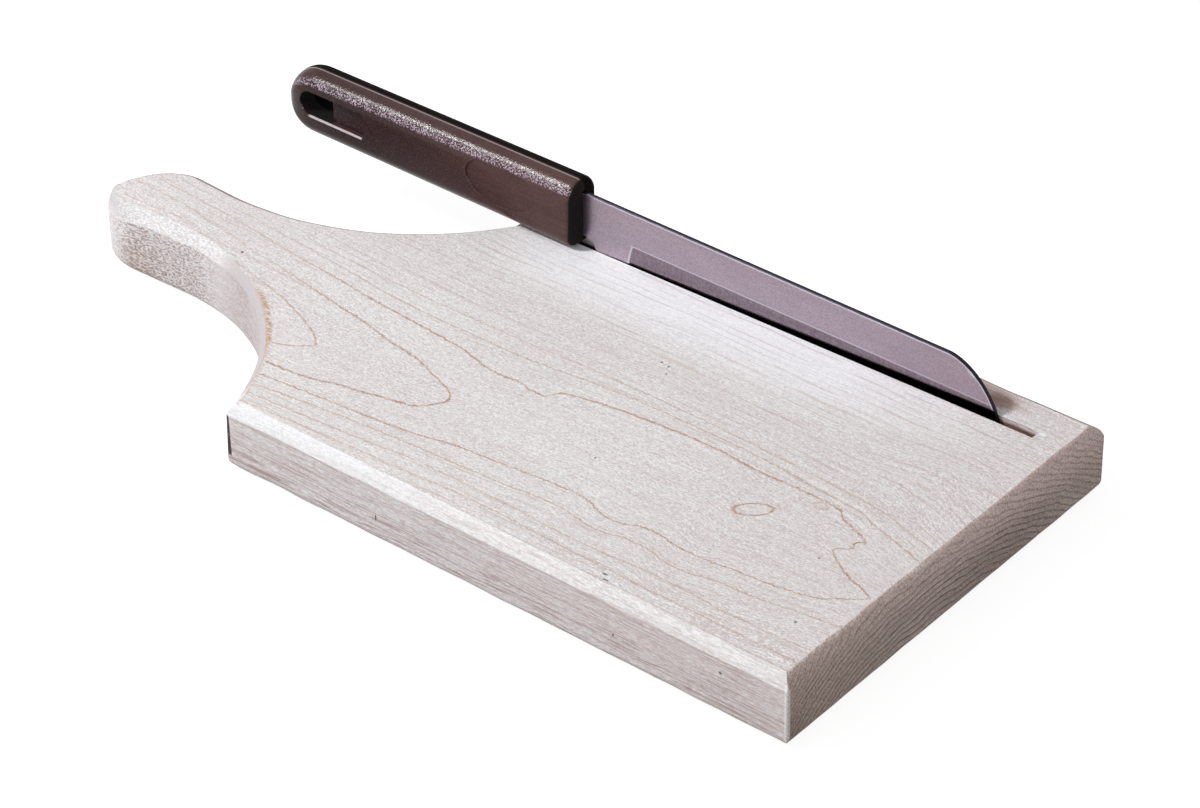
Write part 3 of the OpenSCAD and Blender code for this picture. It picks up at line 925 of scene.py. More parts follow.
    # the rings stand out darkest low down a little past the middle
    from_dark = bench.vector("LENGTH", bench.join(bench.sum("DIVIDE", bench.sum("SUBTRACT", y, 90.0), 26.0),
                                                  bench.sum("DIVIDE", bench.sum("SUBTRACT", z, 7.0), 10.0), 0.0))
    dark_part = bench.ramp(from_dark, 0.3, 1.3, 1.0, 0.0)
    pores = bench.use(GRAIN, Place=place, Length=0.6, Width=0.5, Depth=0.5, Seed=53.0)
    chips = bench.use(GRAIN, Place=place, Length=0.5, Width=0.45, Depth=0.7, Seed=67.0)

    # Rough end grain round the paddle's rounded end
    side = bench.sum("MULTIPLY", bench.ramp(facing_z, 0.15, 0.38, 1.0, 0.0), bench.ramp(facing_z, -0.97, -0.75))
    lobe = bench.sum("MULTIPLY", side, bench.ramp(x, -62.0, -38.0, 1.0, 0.0))
    tears = bench.use(GRAIN, Place=place, Length=1.1, Width=1.1, Depth=0.42, Seed=77.0)
    torn = bench.ramp(tears, 0.40, 0.54, 0.9, 0.0)
    torn_part = bench.sum("MULTIPLY", bench.ramp(x, -101.0, -86.0, 0.35, 1.0), bench.ramp(x, -66.0, -48.0, 1.0, 0.4))
    torn = bench.sum("MULTIPLY", bench.sum("MULTIPLY", torn, torn_part), lobe)

    # Scorched and torn fibres where the near flare was sawn across the grain
    _, flare_centre, flare_radius = flare(NEAR_FLARE, PADDLE_Y, 8, NEAR_ROOT)
    from_arc = bench.vector("SUBTRACT", bench.join(x, y, 0.0), (flare_centre[0], PADDLE_Y - flare_centre[1], 0.0))
    beyond = bench.sum("SUBTRACT", bench.vector("LENGTH", from_arc), flare_radius)
    rim = bench.ramp(bench.sum("ABSOLUTE", bench.sum("SUBTRACT", beyond, 2.6)), 0.3, 1.4, 1.0, 0.0)
    rim = bench.sum("MULTIPLY", rim, bench.ramp(z, 20.6, 21.5))
    rim_run = bench.sum("MULTIPLY", bench.ramp(x, -36.0, -26.0), bench.ramp(x, -12.0, -4.0, 1.0, 0.35))
    fibres = bench.ramp(bench.use(GRAIN, Place=place, Length=2.6, Width=0.34, Depth=1.0, Seed=91.0), 0.44, 0.54)
    rim = bench.sum("MULTIPLY", bench.sum("MULTIPLY", rim, rim_run), fibres)
    near_half_plane = bench.ramp(y, 44.0, 48.0, 1.0, 0.0)
    rim = bench.sum("MULTIPLY", rim, near_half_plane)

    # The saw cut is brown inside, with painted shade that turns it near-black where the knife stands in it
    slot_across = bench.sum("SUBTRACT", bench.sum("SUBTRACT", y, SLOT_Y), bench.sum("MULTIPLY", x, math.tan(SLOT_SKEW)))
    in_cut = bench.sum("MULTIPLY", bench.ramp(slot_across, -0.12, -0.02), bench.ramp(slot_across, KERF + 0.02, KERF + 0.12, 1.0, 0.0))
    in_cut = bench.sum("MULTIPLY", in_cut, bench.ramp(z, 20.2, 20.9, 1.0, 0.0))
    in_cut = bench.sum("MULTIPLY", in_cut, bench.ramp(z, 10.8, 11.1))
    in_cut = bench.sum("MULTIPLY", in_cut, bench.ramp(x, SLOT_END, SLOT_END + 0.3, 1.0, 0.0))

    # Thin dashes along the near face and a split down its left edge
    on_side = bench.ramp(facing_y, -0.9, -0.6, 1.0, 0.0)
    face_bend = bench.use(GRAIN, Place=place, Length=70.0, Width=9.0, Depth=5.0, Seed=37.0)
    face_phase = bench.sum("ADD", bench.sum("DIVIDE", z, 1.35), bench.scaled(face_bend, 0.0, 1.0, -3.5, 3.5))
    face_lines = bench.sum("ABSOLUTE", bench.sum("SUBTRACT", bench.sum("FRACT", face_phase), 0.5))
    face_lines = bench.ramp(face_lines, 0.08, 0.32, 1.0, 0.0)
    face_break = bench.use(GRAIN, Place=place, Length=22.0, Width=9.0, Depth=1.1, Seed=39.0)
    face_lines = bench.sum("MULTIPLY", face_lines, bench.ramp(face_break, 0.38, 0.54))
    face_lines = bench.sum("MULTIPLY", face_lines, bench.sum("MULTIPLY", on_side, bench.ramp(z, 3.0, 16.0, 1.0, 0.6)))
    face_lines = bench.sum("MULTIPLY", face_lines, bench.ramp(short_grain, 0.36, 0.60, 0.5, 1.0))
    face_flecks = bench.use(GRAIN, Place=place, Length=2.2, Width=4.0, Depth=0.30, Seed=45.0)
    dark_flecks = bench.sum("MULTIPLY", bench.ramp(face_flecks, 0.51, 0.62, 0.0, 0.5), on_side)
    white_flecks = bench.sum("MULTIPLY", bench.ramp(face_flecks, 0.36, 0.47, 0.7, 0.0), on_side)
    split_edge = bench.sum("ADD", x, bench.sum("MULTIPLY", chips, 0.8))
    split = bench.sum("MULTIPLY", bench.ramp(split_edge, 0.95, 1.15, 1.0, 0.0), bench.ramp(y, 0.6, 0.9, 1.0, 0.0))
    split = bench.sum("MULTIPLY", split, bench.sum("MULTIPLY", bench.ramp(z, 4.5, 5.2), bench.ramp(z, 17.4, 18.2, 1.0, 0.0)))
    split = bench.sum("MULTIPLY", split, bench.sum("MULTIPLY", bench.ramp(facing_y, -0.4, -0.1, 1.0, 0.0), bench.ramp(chips, 0.36, 0.45, 0.7, 1.0)))
    worn_corner = bench.sum("MULTIPLY", bench.ramp(x, 186.9, 187.2), bench.ramp(y, 0.8, 1.3, 1.0, 0.0))
    worn_corner = bench.sum("MULTIPLY", worn_corner, bench.ramp(chips, 0.40, 0.55, 0.55, 1.0))

    # Small dark marks that the photographed board has
    marks = [
        ((-47.5, 55.9, 22), (0.6, 0.45, 3)), ((79.2, 86.4, 22), (0.45, 0.4, 3)),
        ((82.0, 85.8, 22), (0.4, 0.35, 3)), ((83.6, 82.8, 22), (0.35, 0.3, 3)),
        ((164.6, 43.4, 22), (0.35, 0.3, 3)), ((175.6, 19.3, 22), (0.5, 0.4, 3)),
        ((93.2, 41.6, 22), (0.3, 0.4, 3)), ((126.8, 5.1, 22), (1.0, 0.4, 3)),
        ((128.3, 3.4, 22), (1.1, 0.35, 3)), ((53.0, 0, 8.3), (0.35, 4, 1.2)),
        ((167.3, 0, 13.9), (0.6, 4, 0.45)), ((133.2, 0, 9.0), (0.4, 4, 0.45)),
    ]
    spots = strongest(bench, [(bench.use(FLECK, Place=place, Spot=s, Reach=r), 1.0) for s, r in marks])
    tan_streak = bench.use(FLECK, Place=place, Spot=(83.0, 88.6, 22), Reach=(11.0, 0.8, 3))

    # A painted shadow of the knife's point lies brown on the wood behind it, and the saw chipped the end of its cut
    tip_shadow = bench.use(FLECK, Place=place, Spot=(160.5, 127.6, 22), Reach=(5.0, 3.4, 4))
    wide_tip_shadow = bench.use(FLECK, Place=place, Spot=(152.0, 128.5, 22), Reach=(19.0, 7.0, 6))
    pale_chips = strongest(bench, [
        (bench.use(FLECK, Place=place, Spot=(167.6, 120.3, 21.9), Reach=(1.5, 0.6, 1.5)), 0.9),
        (bench.use(FLECK, Place=place, Spot=(172.6, 120.4, 21.9), Reach=(1.0, 0.5, 1.5)), 0.8),
        (bench.use(FLECK, Place=place, Spot=(178.2, 122.0, 21.9), Reach=(1.3, 0.7, 1.5)), 0.9)])

    # Colours
    colour = bench.mix(bench.ramp(cloud, 0.35, 0.65), (0.80, 0.775, 0.775, 1), (0.745, 0.71, 0.71, 1))
    # painted shade: the wood grows darker and warmer towards the end, where less light falls
    painted_end_falloff = bench.ramp(x, 95.0, 188.0, 0.0, 0.55)
    colour = bench.mix(painted_end_falloff, colour, (0.715, 0.66, 0.645, 1))
    # painted sheen: the far part of the top is made paler and bluer
    painted_far_sheen = bench.sum("MULTIPLY", bench.ramp(y, 84.0, 112.0), bench.ramp(x, 110.0, 178.0, 1.0, 0.0))
    painted_far_sheen = bench.sum("MULTIPLY", painted_far_sheen, bench.ramp(x, -10.0, 30.0))
    colour = bench.mix(bench.sum("MULTIPLY", painted_far_sheen, 0.9), colour, (0.95, 0.975, 1.0, 1))
    streaky = bench.ramp(x, 80.0, 170.0, 0.42, 0.62)
    streaky = bench.sum("MULTIPLY", bench.ramp(long_grain, 0.42, 0.70), streaky)
    colour = bench.mix(streaky, colour, (0.61, 0.535, 0.52, 1))
    colour = bench.mix(bench.ramp(short_grain, 0.52, 0.78, 0.0, 0.35), colour, (0.58, 0.51, 0.48, 1))
    colour = bench.mix(bench.ramp(dashes, 0.58, 0.74, 0.0, 0.42), colour, (0.47, 0.39, 0.35, 1))
    thready = bench.sum("MAXIMUM", bench.ramp(x, 20.0, 150.0, 0.35, 0.85), bench.ramp(y, 119.0, 122.0, 0.0, 1.0))
    dark_threads = bench.sum("MULTIPLY", bench.ramp(threads, 0.50, 0.64, 0.0, 0.6), thready)
    white_threads = bench.sum("MULTIPLY", bench.ramp(threads, 0.36, 0.47, 0.5, 0.0), thready)
    colour = bench.mix(dark_threads, colour, (0.53, 0.43, 0.405, 1))
    colour = bench.mix(white_threads, colour, (0.90, 0.90, 0.92, 1))
    colour = bench.mix(bench.ramp(speckle, 0.42, 0.62, 0.0, 0.68), colour, (0.51, 0.445, 0.435, 1))
    colour = bench.mix(bench.ramp(dust, 0.48, 0.64, 0.0, 0.68), colour, (0.98, 0.98, 0.99, 1))
    # more of the painted sheen on the far part of the top
    colour = bench.mix(bench.sum("MULTIPLY", painted_far_sheen, 0.5), colour, (0.93, 0.965, 1.0, 1))
    faint_rings = bench.sum("MULTIPLY", faint_rings, bench.ramp(x, -60.0, 10.0, 0.26, 0.42))
    colour = bench.mix(faint_rings, colour, (0.48, 0.37, 0.32, 1))
    # painted shade: the sides grow darker towards the end
    painted_side_falloff = bench.sum("MULTIPLY", side, bench.ramp(x, 20.0, 188.0, 0.0, 0.32))
    colour = bench.mix(painted_side_falloff, colour, (0.60, 0.49, 0.455, 1))
    colour = bench.mix(bench.sum("MULTIPLY", on_side, 0.32), colour, (0.95, 0.885, 0.885, 1))
    colour = bench.mix(dark_flecks, colour, (0.46, 0.365, 0.355, 1))
    colour = bench.mix(white_flecks, colour, (0.96, 0.94, 0.955, 1))
    colour = bench.mix(bench.sum("MULTIPLY", face_lines, 0.8), colour, (0.38, 0.25, 0.225, 1))
    colour = bench.mix(bench.sum("MULTIPLY", arches, 0.5), colour, (0.46, 0.35, 0.26, 1))
    colour = bench.mix(bench.sum("MULTIPLY", figure, 0.92), colour, (0.44, 0.265, 0.165, 1))
    colour = bench.mix(bench.sum("MULTIPLY", tan_streak, 0.35), colour, (0.55, 0.40, 0.27, 1))
    # painted highlight: a pale band along the eased top edge, fading towards the end and left out at the neck
    painted_edge_highlight = bench.sum("MULTIPLY", bench.ramp(facing_z, 0.12, 0.30), bench.ramp(facing_z, 0.86, 0.94, 1.0, 0.0))
    painted_edge_highlight = bench.sum("MULTIPLY", painted_edge_highlight, bench.ramp(facing_x, 0.25, 0.5, 1.0, 0.0))
    painted_edge_highlight = bench.sum("MULTIPLY", painted_edge_highlight, bench.ramp(facing_y, 0.0, 0.3, 1.0, 0.0))
    painted_edge_highlight = bench.sum("MULTIPLY", painted_edge_highlight, bench.ramp(x, 10.0, 120.0, 0.7, 0.28))
    on_neck = bench.sum("MULTIPLY", bench.ramp(x, -60.0, -42.0), bench.ramp(x, -1.5, 0.5, 1.0, 0.0))
    painted_edge_highlight = bench.sum("MULTIPLY", painted_edge_highlight, bench.sum("SUBTRACT", 1.0, on_neck))
    painted_edge_highlight_colour = bench.mix(bench.ramp(speckle, 0.42, 0.62), (0.91, 0.94, 0.965, 1), (0.76, 0.78, 0.79, 1))
    colour = bench.mix(painted_edge_highlight, colour, painted_edge_highlight_colour)
    neck_facet = bench.sum("MULTIPLY", on_neck, bench.sum("MULTIPLY", bench.ramp(facing_z, 0.12, 0.30),
                                                          bench.ramp(facing_z, 0.86, 0.94, 1.0, 0.0)))
    neck_facet = bench.sum("MULTIPLY", neck_facet, bench.ramp(facing_y, 0.0, 0.3, 1.0, 0.0))
    colour = bench.mix(bench.sum("MULTIPLY", neck_facet, 0.85), colour, (0.50, 0.46, 0.475, 1))
    # painted highlight on the lobe's eased facet, with painted shade where it turns towards the nose
    lobe_facet_highlight = bench.sum("MULTIPLY", bench.ramp(x, -60.0, -45.0, 1.0, 0.0), bench.ramp(facing_z, 0.12, 0.30))
    lobe_facet_highlight = bench.sum("MULTIPLY", lobe_facet_highlight, bench.ramp(facing_z, 0.88, 0.985, 1.0, 0.0))
    lobe_facet_highlight = bench.sum("MULTIPLY", lobe_facet_highlight, bench.ramp(facing_y, 0.0, 0.3, 1.0, 0.0))
    lobe_highlight_and_nose_shade = bench.mix(bench.ramp(speckle, 0.40, 0.58), (0.80, 0.79, 0.80, 1), (0.56, 0.53, 0.54, 1))
    lobe_highlight_and_nose_shade = bench.mix(bench.ramp(x, -101.0, -90.0, 0.7, 0.0), lobe_highlight_and_nose_shade, (0.54, 0.49, 0.51, 1))
    colour = bench.mix(bench.sum("MULTIPLY", lobe_facet_highlight, 0.92), colour, lobe_highlight_and_nose_shade)
    # thin darker lines where the eased facet meets the top and the near face
    facet_line = bench.ramp(bench.sum("ABSOLUTE", bench.sum("SUBTRACT", y, 2.9)), 0.1, 0.45, 1.0, 0.0)
    facet_line = bench.sum("MULTIPLY", facet_line, bench.sum("MULTIPLY", on_top, bench.ramp(x, 45.0, 110.0)))
    under_line = bench.ramp(bench.sum("ABSOLUTE", bench.sum("SUBTRACT", z, 17.8)), 0.1, 0.55, 1.0, 0.0)
    under_line = bench.sum("MULTIPLY", under_line, bench.sum("MULTIPLY", on_side, bench.ramp(x, 2.0, 10.0)))
    facet_line = bench.sum("MAXIMUM", facet_line, under_line)
    colour = bench.mix(bench.sum("MULTIPLY", facet_line, 0.4), colour, (0.50, 0.42, 0.40, 1))
    # painted shade: a dark band along the upper part of the far eased edge
    far_rim_shade = bench.sum("MULTIPLY", bench.ramp(facing_y, 0.12, 0.35), bench.ramp(facing_y, 0.5, 0.72, 1.0, 0.0))
    far_rim_shade = bench.sum("MULTIPLY", far_rim_shade, bench.ramp(facing_z, 0.2, 0.5))
    on_back = bench.sum("MULTIPLY", bench.ramp(facing_y, 0.45, 0.75), bench.ramp(x, 0.0, 4.0))
    colour = bench.mix(bench.sum("MULTIPLY", on_back, 0.4), colour, (0.92, 0.76, 0.67, 1))
    # the painted shade on the far eased edge goes in here
    colour = bench.mix(bench.sum("MULTIPLY", far_rim_shade, 0.85), colour, (0.25, 0.19, 0.185, 1))
    neck_tone = bench.sum("MULTIPLY", side, bench.sum("MULTIPLY", bench.ramp(x, -62.0, -44.0), bench.ramp(x, -2.0, 0.0, 1.0, 0.0)))
    colour = bench.mix(bench.sum("MULTIPLY", neck_tone, 0.45), colour, (0.56, 0.50, 0.51, 1))
    wavy = bench.sum("MULTIPLY", neck_tone, bench.ramp(tears, 0.42, 0.56, 0.5, 0.0))
    colour = bench.mix(wavy, colour, (0.42, 0.34, 0.33, 1))
    browned = bench.sum("MULTIPLY", bench.ramp(x, -97.0, -88.0), bench.ramp(x, -84.0, -72.0, 1.0, 0.15))
    browned = bench.sum("MULTIPLY", browned, bench.ramp(z, 3.0, 17.0, 0.6, 0.1))
    lobe_colour = bench.mix(browned, (0.92, 0.875, 0.89, 1), (0.60, 0.45, 0.40, 1))
    lobe_colour = bench.mix(bench.ramp(tears, 0.52, 0.62, 0.0, 0.6), lobe_colour, (0.97, 0.95, 0.96, 1))
    lobe_colour = bench.mix(torn, lobe_colour, (0.36, 0.25, 0.215, 1))
    colour = bench.mix(bench.sum("MULTIPLY", lobe, 0.9), colour, lobe_colour)
    facet_colour = bench.mix(bench.ramp(end_tone, 0.3, 0.7), (0.97, 0.83, 0.79, 1), (0.68, 0.53, 0.47, 1))
    facet_colour = bench.mix(bench.ramp(y, 62.0, 128.0, 0.0, 0.8), facet_colour, (0.74, 0.565, 0.535, 1))
    facet_colour = bench.mix(bench.ramp(pores, 0.44, 0.62, 0.0, 0.6), facet_colour, (0.30, 0.21, 0.17, 1))
    end_colour = bench.mix(bench.ramp(end_tone, 0.38, 0.64), (0.56, 0.45, 0.40, 1), (0.76, 0.62, 0.565, 1))
    end_colour = bench.mix(bench.sum("MULTIPLY", dark_part, 0.45), end_colour, (0.30, 0.22, 0.20, 1))
    near_brown = bench.ramp(y, 0.0, 50.0, 0.45, 0.0)
    end_colour = bench.mix(near_brown, end_colour, (0.50, 0.38, 0.30, 1))
    mauve = bench.sum("MULTIPLY", bench.ramp(z, 9.0, 19.0), bench.ramp(y, 20.0, 115.0, 0.25, 0.8))
    end_colour = bench.mix(mauve, end_colour, (0.85, 0.655, 0.625, 1))
    corner_dark = bench.sum("MULTIPLY", bench.ramp(y, 0.0, 14.0, 0.6, 0.0), bench.ramp(z, 2.0, 14.0, 1.0, 0.2))
    end_colour = bench.mix(corner_dark, end_colour, (0.16, 0.12, 0.10, 1))
    end_rings = bench.sum("MULTIPLY", end_rings, bench.ramp(z, 12.0, 20.0, 0.92, 0.55))
    end_rings = bench.sum("MULTIPLY", end_rings, bench.ramp(y, 95.0, 130.0, 1.0, 0.65))
    end_colour = bench.mix(end_rings, end_colour, (0.11, 0.07, 0.055, 1))
    end_colour = bench.mix(bench.ramp(pores, 0.46, 0.62, 0.0, 0.5), end_colour, (0.15, 0.10, 0.08, 1))
    end_colour = bench.mix(bench.ramp(chips, 0.52, 0.66, 0.0, 0.6), end_colour, (0.86, 0.74, 0.68, 1))
    colour = bench.mix(on_facet, colour, facet_colour)
    colour = bench.mix(on_end, colour, end_colour)
    colour = bench.mix(bench.sum("MULTIPLY", worn_corner, 0.8), colour, (0.96, 0.93, 0.92, 1))
    colour = bench.mix(split, colour, (0.02, 0.015, 0.012, 1))
    colour = bench.mix(bench.sum("MULTIPLY", rim, 0.95), colour, (0.47, 0.27, 0.11, 1))
    cut_brown_and_shade = bench.mix(bench.ramp(short_grain, 0.40, 0.60), (0.26, 0.15, 0.115, 1), (0.05, 0.025, 0.02, 1))
    # painted shade: near-black in the cut under the knife
    cut_brown_and_shade = bench.mix(bench.ramp(x, 160.0, 168.0, 1.0, 0.0), cut_brown_and_shade, (0.012, 0.010, 0.012, 1))
    colour = bench.mix(bench.sum("MULTIPLY", in_cut, 0.97), colour, cut_brown_and_shade)
    # painted shadow of the knife's point, brown on the wood behind it
    colour = bench.mix(bench.sum("MULTIPLY", wide_tip_shadow, bench.ramp(short_grain, 0.36, 0.58, 0.45, 0.95)), colour, (0.50, 0.345, 0.31, 1))
    colour = bench.mix(bench.sum("MULTIPLY", tip_shadow, bench.ramp(short_grain, 0.35, 0.6, 0.5, 0.85)), colour, (0.32, 0.20, 0.155, 1))
    colour = bench.mix(pale_chips, colour, (0.97, 0.95, 0.94, 1))
    colour = bench.mix(bench.sum("MULTIPLY", spots, 0.8), colour, (0.035, 0.02, 0.014, 1))
    bench.feed(shader.inputs["Base Color"], colour)

    rough = bench.scaled(long_grain, 0.0, 1.0, 0.52, 0.72)
    rough = bench.sum("MAXIMUM", rough, bench.sum("MULTIPLY", on_end, 0.82))
    bench.feed(shader.inputs["Roughness"], rough)
    shader.inputs["Specular IOR Level"].default_value = 0.32
    height = bench.sum("ADD", bench.sum("MULTIPLY", short_grain, 0.5), bench.sum("MULTIPLY", long_grain, 0.35))
    height = bench.sum("ADD", height, bench.sum("MULTIPLY", speckle, 0.35))
    height = bench.sum("SUBTRACT", height, bench.sum("MULTIPLY", figure, 0.25))
    height = bench.sum("SUBTRACT", height, bench.sum("MULTIPLY", torn, 1.4))
    height = bench.sum("SUBTRACT", height, bench.sum("MULTIPLY", spots, 2.0))
    height = bench.sum("SUBTRACT", height, bench.sum("MULTIPLY", bench.sum("MULTIPLY", end_rings, on_end), 0.9))
    bump = bench.add("ShaderNodeBump", {"Strength": 0.55, "Distance": 0.00022, "Height": height})
    bench.feed(shader.inputs["Normal"], bump.outputs[0])
    return material


# ---- steel ----

def blade_steel():
    material, bench, shader = new_material("satin_steel", (0.42, 0.38, 0.41))
    place = along_knife(bench)
    u, v, w = bench.split(place)
    _, facing_y, _ = bench.split(bench.add("ShaderNodeTexCoord").outputs["Normal"])
    ground_from = EDGE_Z + BEVEL_H
    high = bench.sum("DIVIDE", bench.sum("SUBTRACT", w, EDGE_Z), BEVEL_H)
    start = bench.sum("ADD", bench.sum("MULTIPLY", bench.sum("MULTIPLY", high, high), 1.8), BEVEL_START - 0.4)
    in_bevel = bench.sum("MULTIPLY", bench.ramp(w, ground_from - 0.12, ground_from + 0.05, 1.0, 0.0),
                         bench.ramp(bench.sum("SUBTRACT", u, start), 0.0, 0.7))
    roll_marks = bench.use(GRAIN, Place=place, Length=16.0, Width=4.0, Depth=0.22, Seed=2.0)
    grind_marks = bench.use(GRAIN, Place=place, Length=0.5, Width=4.0, Depth=3.0, Seed=7.0)
    mottle = bench.use(GRAIN, Place=place, Length=1.1, Width=4.0, Depth=1.0, Seed=13.0)
    cloud = bench.use(GRAIN, Place=place, Length=34.0, Width=6.0, Depth=9.0, Seed=17.0)
    frost = bench.use(GRAIN, Place=place, Length=0.55, Width=4.0, Depth=0.5, Seed=29.0)
    line_off = bench.sum("ABSOLUTE", bench.sum("SUBTRACT", w, ground_from))
    shoulder_line = bench.sum("MULTIPLY", bench.ramp(line_off, 0.08, 0.34, 1.0, 0.0), bench.ramp(u, 16.5, 17.5))
    start_off = bench.sum("ABSOLUTE", bench.sum("SUBTRACT", u, bench.sum("ADD", start, 0.3)))
    start_line = bench.sum("MULTIPLY", bench.ramp(start_off, 0.12, 0.42, 1.0, 0.0),
                           bench.ramp(w, ground_from - 0.1, ground_from + 0.1, 1.0, 0.0))

    # Distance in from the spine, which goes on round the point as the outline itself does
    ahead = bench.sum("MAXIMUM", bench.sum("DIVIDE", bench.sum("SUBTRACT", u, BLADE_L - TIP_L), TIP_L), 0.0)
    raised = bench.sum("MAXIMUM", bench.sum("DIVIDE", bench.sum("SUBTRACT", w, EDGE_Z), BLADE_H), 0.0)
    outward = bench.sum("POWER", bench.sum("ADD", bench.sum("POWER", ahead, TIP_POWER),
                                           bench.sum("POWER", raised, TIP_POWER)), 1 / TIP_POWER)
    from_spine = bench.sum("MULTIPLY", bench.sum("SUBTRACT", 1.0, outward), BLADE_H)
    ragged = bench.use(GRAIN, Place=place, Length=3.0, Width=4.0, Depth=3.0, Seed=43.0)
    from_spine = bench.sum("ADD", from_spine, bench.scaled(ragged, 0.0, 1.0, -0.12, 0.12))
    # painted shade on the spine and round the point, with a painted highlight line just inside it and a painted glint
    # near the point
    on_rim = bench.ramp(bench.sum("ABSOLUTE", facing_y), 0.5, 0.75, 1.0, 0.0)
    spine_shade = bench.sum("MAXIMUM", on_rim, bench.ramp(from_spine, 0.14, 0.26, 1.0, 0.0))
    spine_highlight = bench.sum("MULTIPLY", bench.ramp(from_spine, 0.22, 0.34), bench.ramp(from_spine, 0.55, 0.8, 1.0, 0.0))
    glint = bench.use(FLECK, Place=place, Spot=(130.0, 0.0, 13.6), Reach=(3.2, 3.0, 1.2))
    spine_highlight = bench.sum("MAXIMUM", spine_highlight, bench.sum("MULTIPLY", glint, bench.ramp(from_spine, 0.9, 1.3, 1.0, 0.0)))

    colour = bench.mix(bench.ramp(cloud, 0.3, 0.7), (0.44, 0.36, 0.43, 1), (0.52, 0.425, 0.49, 1))
    colour = bench.mix(bench.ramp(roll_marks, 0.35, 0.7, 0.0, 0.15), colour, (0.33, 0.28, 0.33, 1))
    colour = bench.mix(bench.ramp(frost, 0.42, 0.62, 0.0, 0.5), colour, (0.28, 0.23, 0.27, 1))
    bevel_colour = bench.mix(bench.ramp(mottle, 0.36, 0.64), (0.235, 0.185, 0.22, 1), (0.30, 0.24, 0.28, 1))
    bevel_colour = bench.mix(bench.ramp(grind_marks, 0.42, 0.62, 0.0, 0.35), bevel_colour, (0.13, 0.10, 0.12, 1))
    colour = bench.mix(in_bevel, colour, bevel_colour)
    # painted highlight along the bevel's shoulder and along its curved start
    bevel_line_highlight = bench.sum("MAXIMUM", bench.sum("MULTIPLY", shoulder_line, 0.55), bench.sum("MULTIPLY", start_line, 0.75))
    colour = bench.mix(bevel_line_highlight, colour, (0.74, 0.70, 0.76, 1))
    # the painted highlight line and glint go in, then the painted shade on the spine
    colour = bench.mix(bench.sum("MULTIPLY", spine_highlight, 0.9), colour, (0.74, 0.73, 0.79, 1))
    colour = bench.mix(spine_shade, colour, (0.02, 0.018, 0.028, 1))
    # painted shade: a near-black band on the blade where it stands in the mouth of the slot
    gap_top = bench.sum("SUBTRACT", bench.sum("MULTIPLY", u, 0.041), 0.42)
    from_gap = bench.sum("SUBTRACT", w, gap_top)
    slot_shade_on_blade = bench.sum("MULTIPLY", bench.ramp(from_gap, -2.6, -1.6), bench.ramp(from_gap, -0.35, 0.1, 1.0, 0.0))
    slot_shade_on_blade = bench.sum("MULTIPLY", slot_shade_on_blade, bench.ramp(u, 8.0, 14.0))
    colour = bench.mix(slot_shade_on_blade, colour, (0.008, 0.007, 0.009, 1))
    bench.feed(shader.inputs["Base Color"], colour)
    shader.inputs["Metallic"].default_value = 1.0
    rough = bench.scaled(roll_marks, 0.0, 1.0, 0.24, 0.40)
    rough = bench.blend(in_bevel, rough, bench.scaled(mottle, 0.0, 1.0, 0.12, 0.22))
    bench.feed(shader.inputs["Roughness"], rough)
    marks = bench.blend(in_bevel, bench.sum("MULTIPLY", roll_marks, 0.35), bench.sum("MULTIPLY", grind_marks, 0.3))
    bump = bench.add("ShaderNodeBump", {"Strength": 0.35, "Distance": 0.00006, "Height": marks})
    bench.feed(shader.inputs["Normal"], bump.outputs[0])
    return material


# ---- brown plastic ----

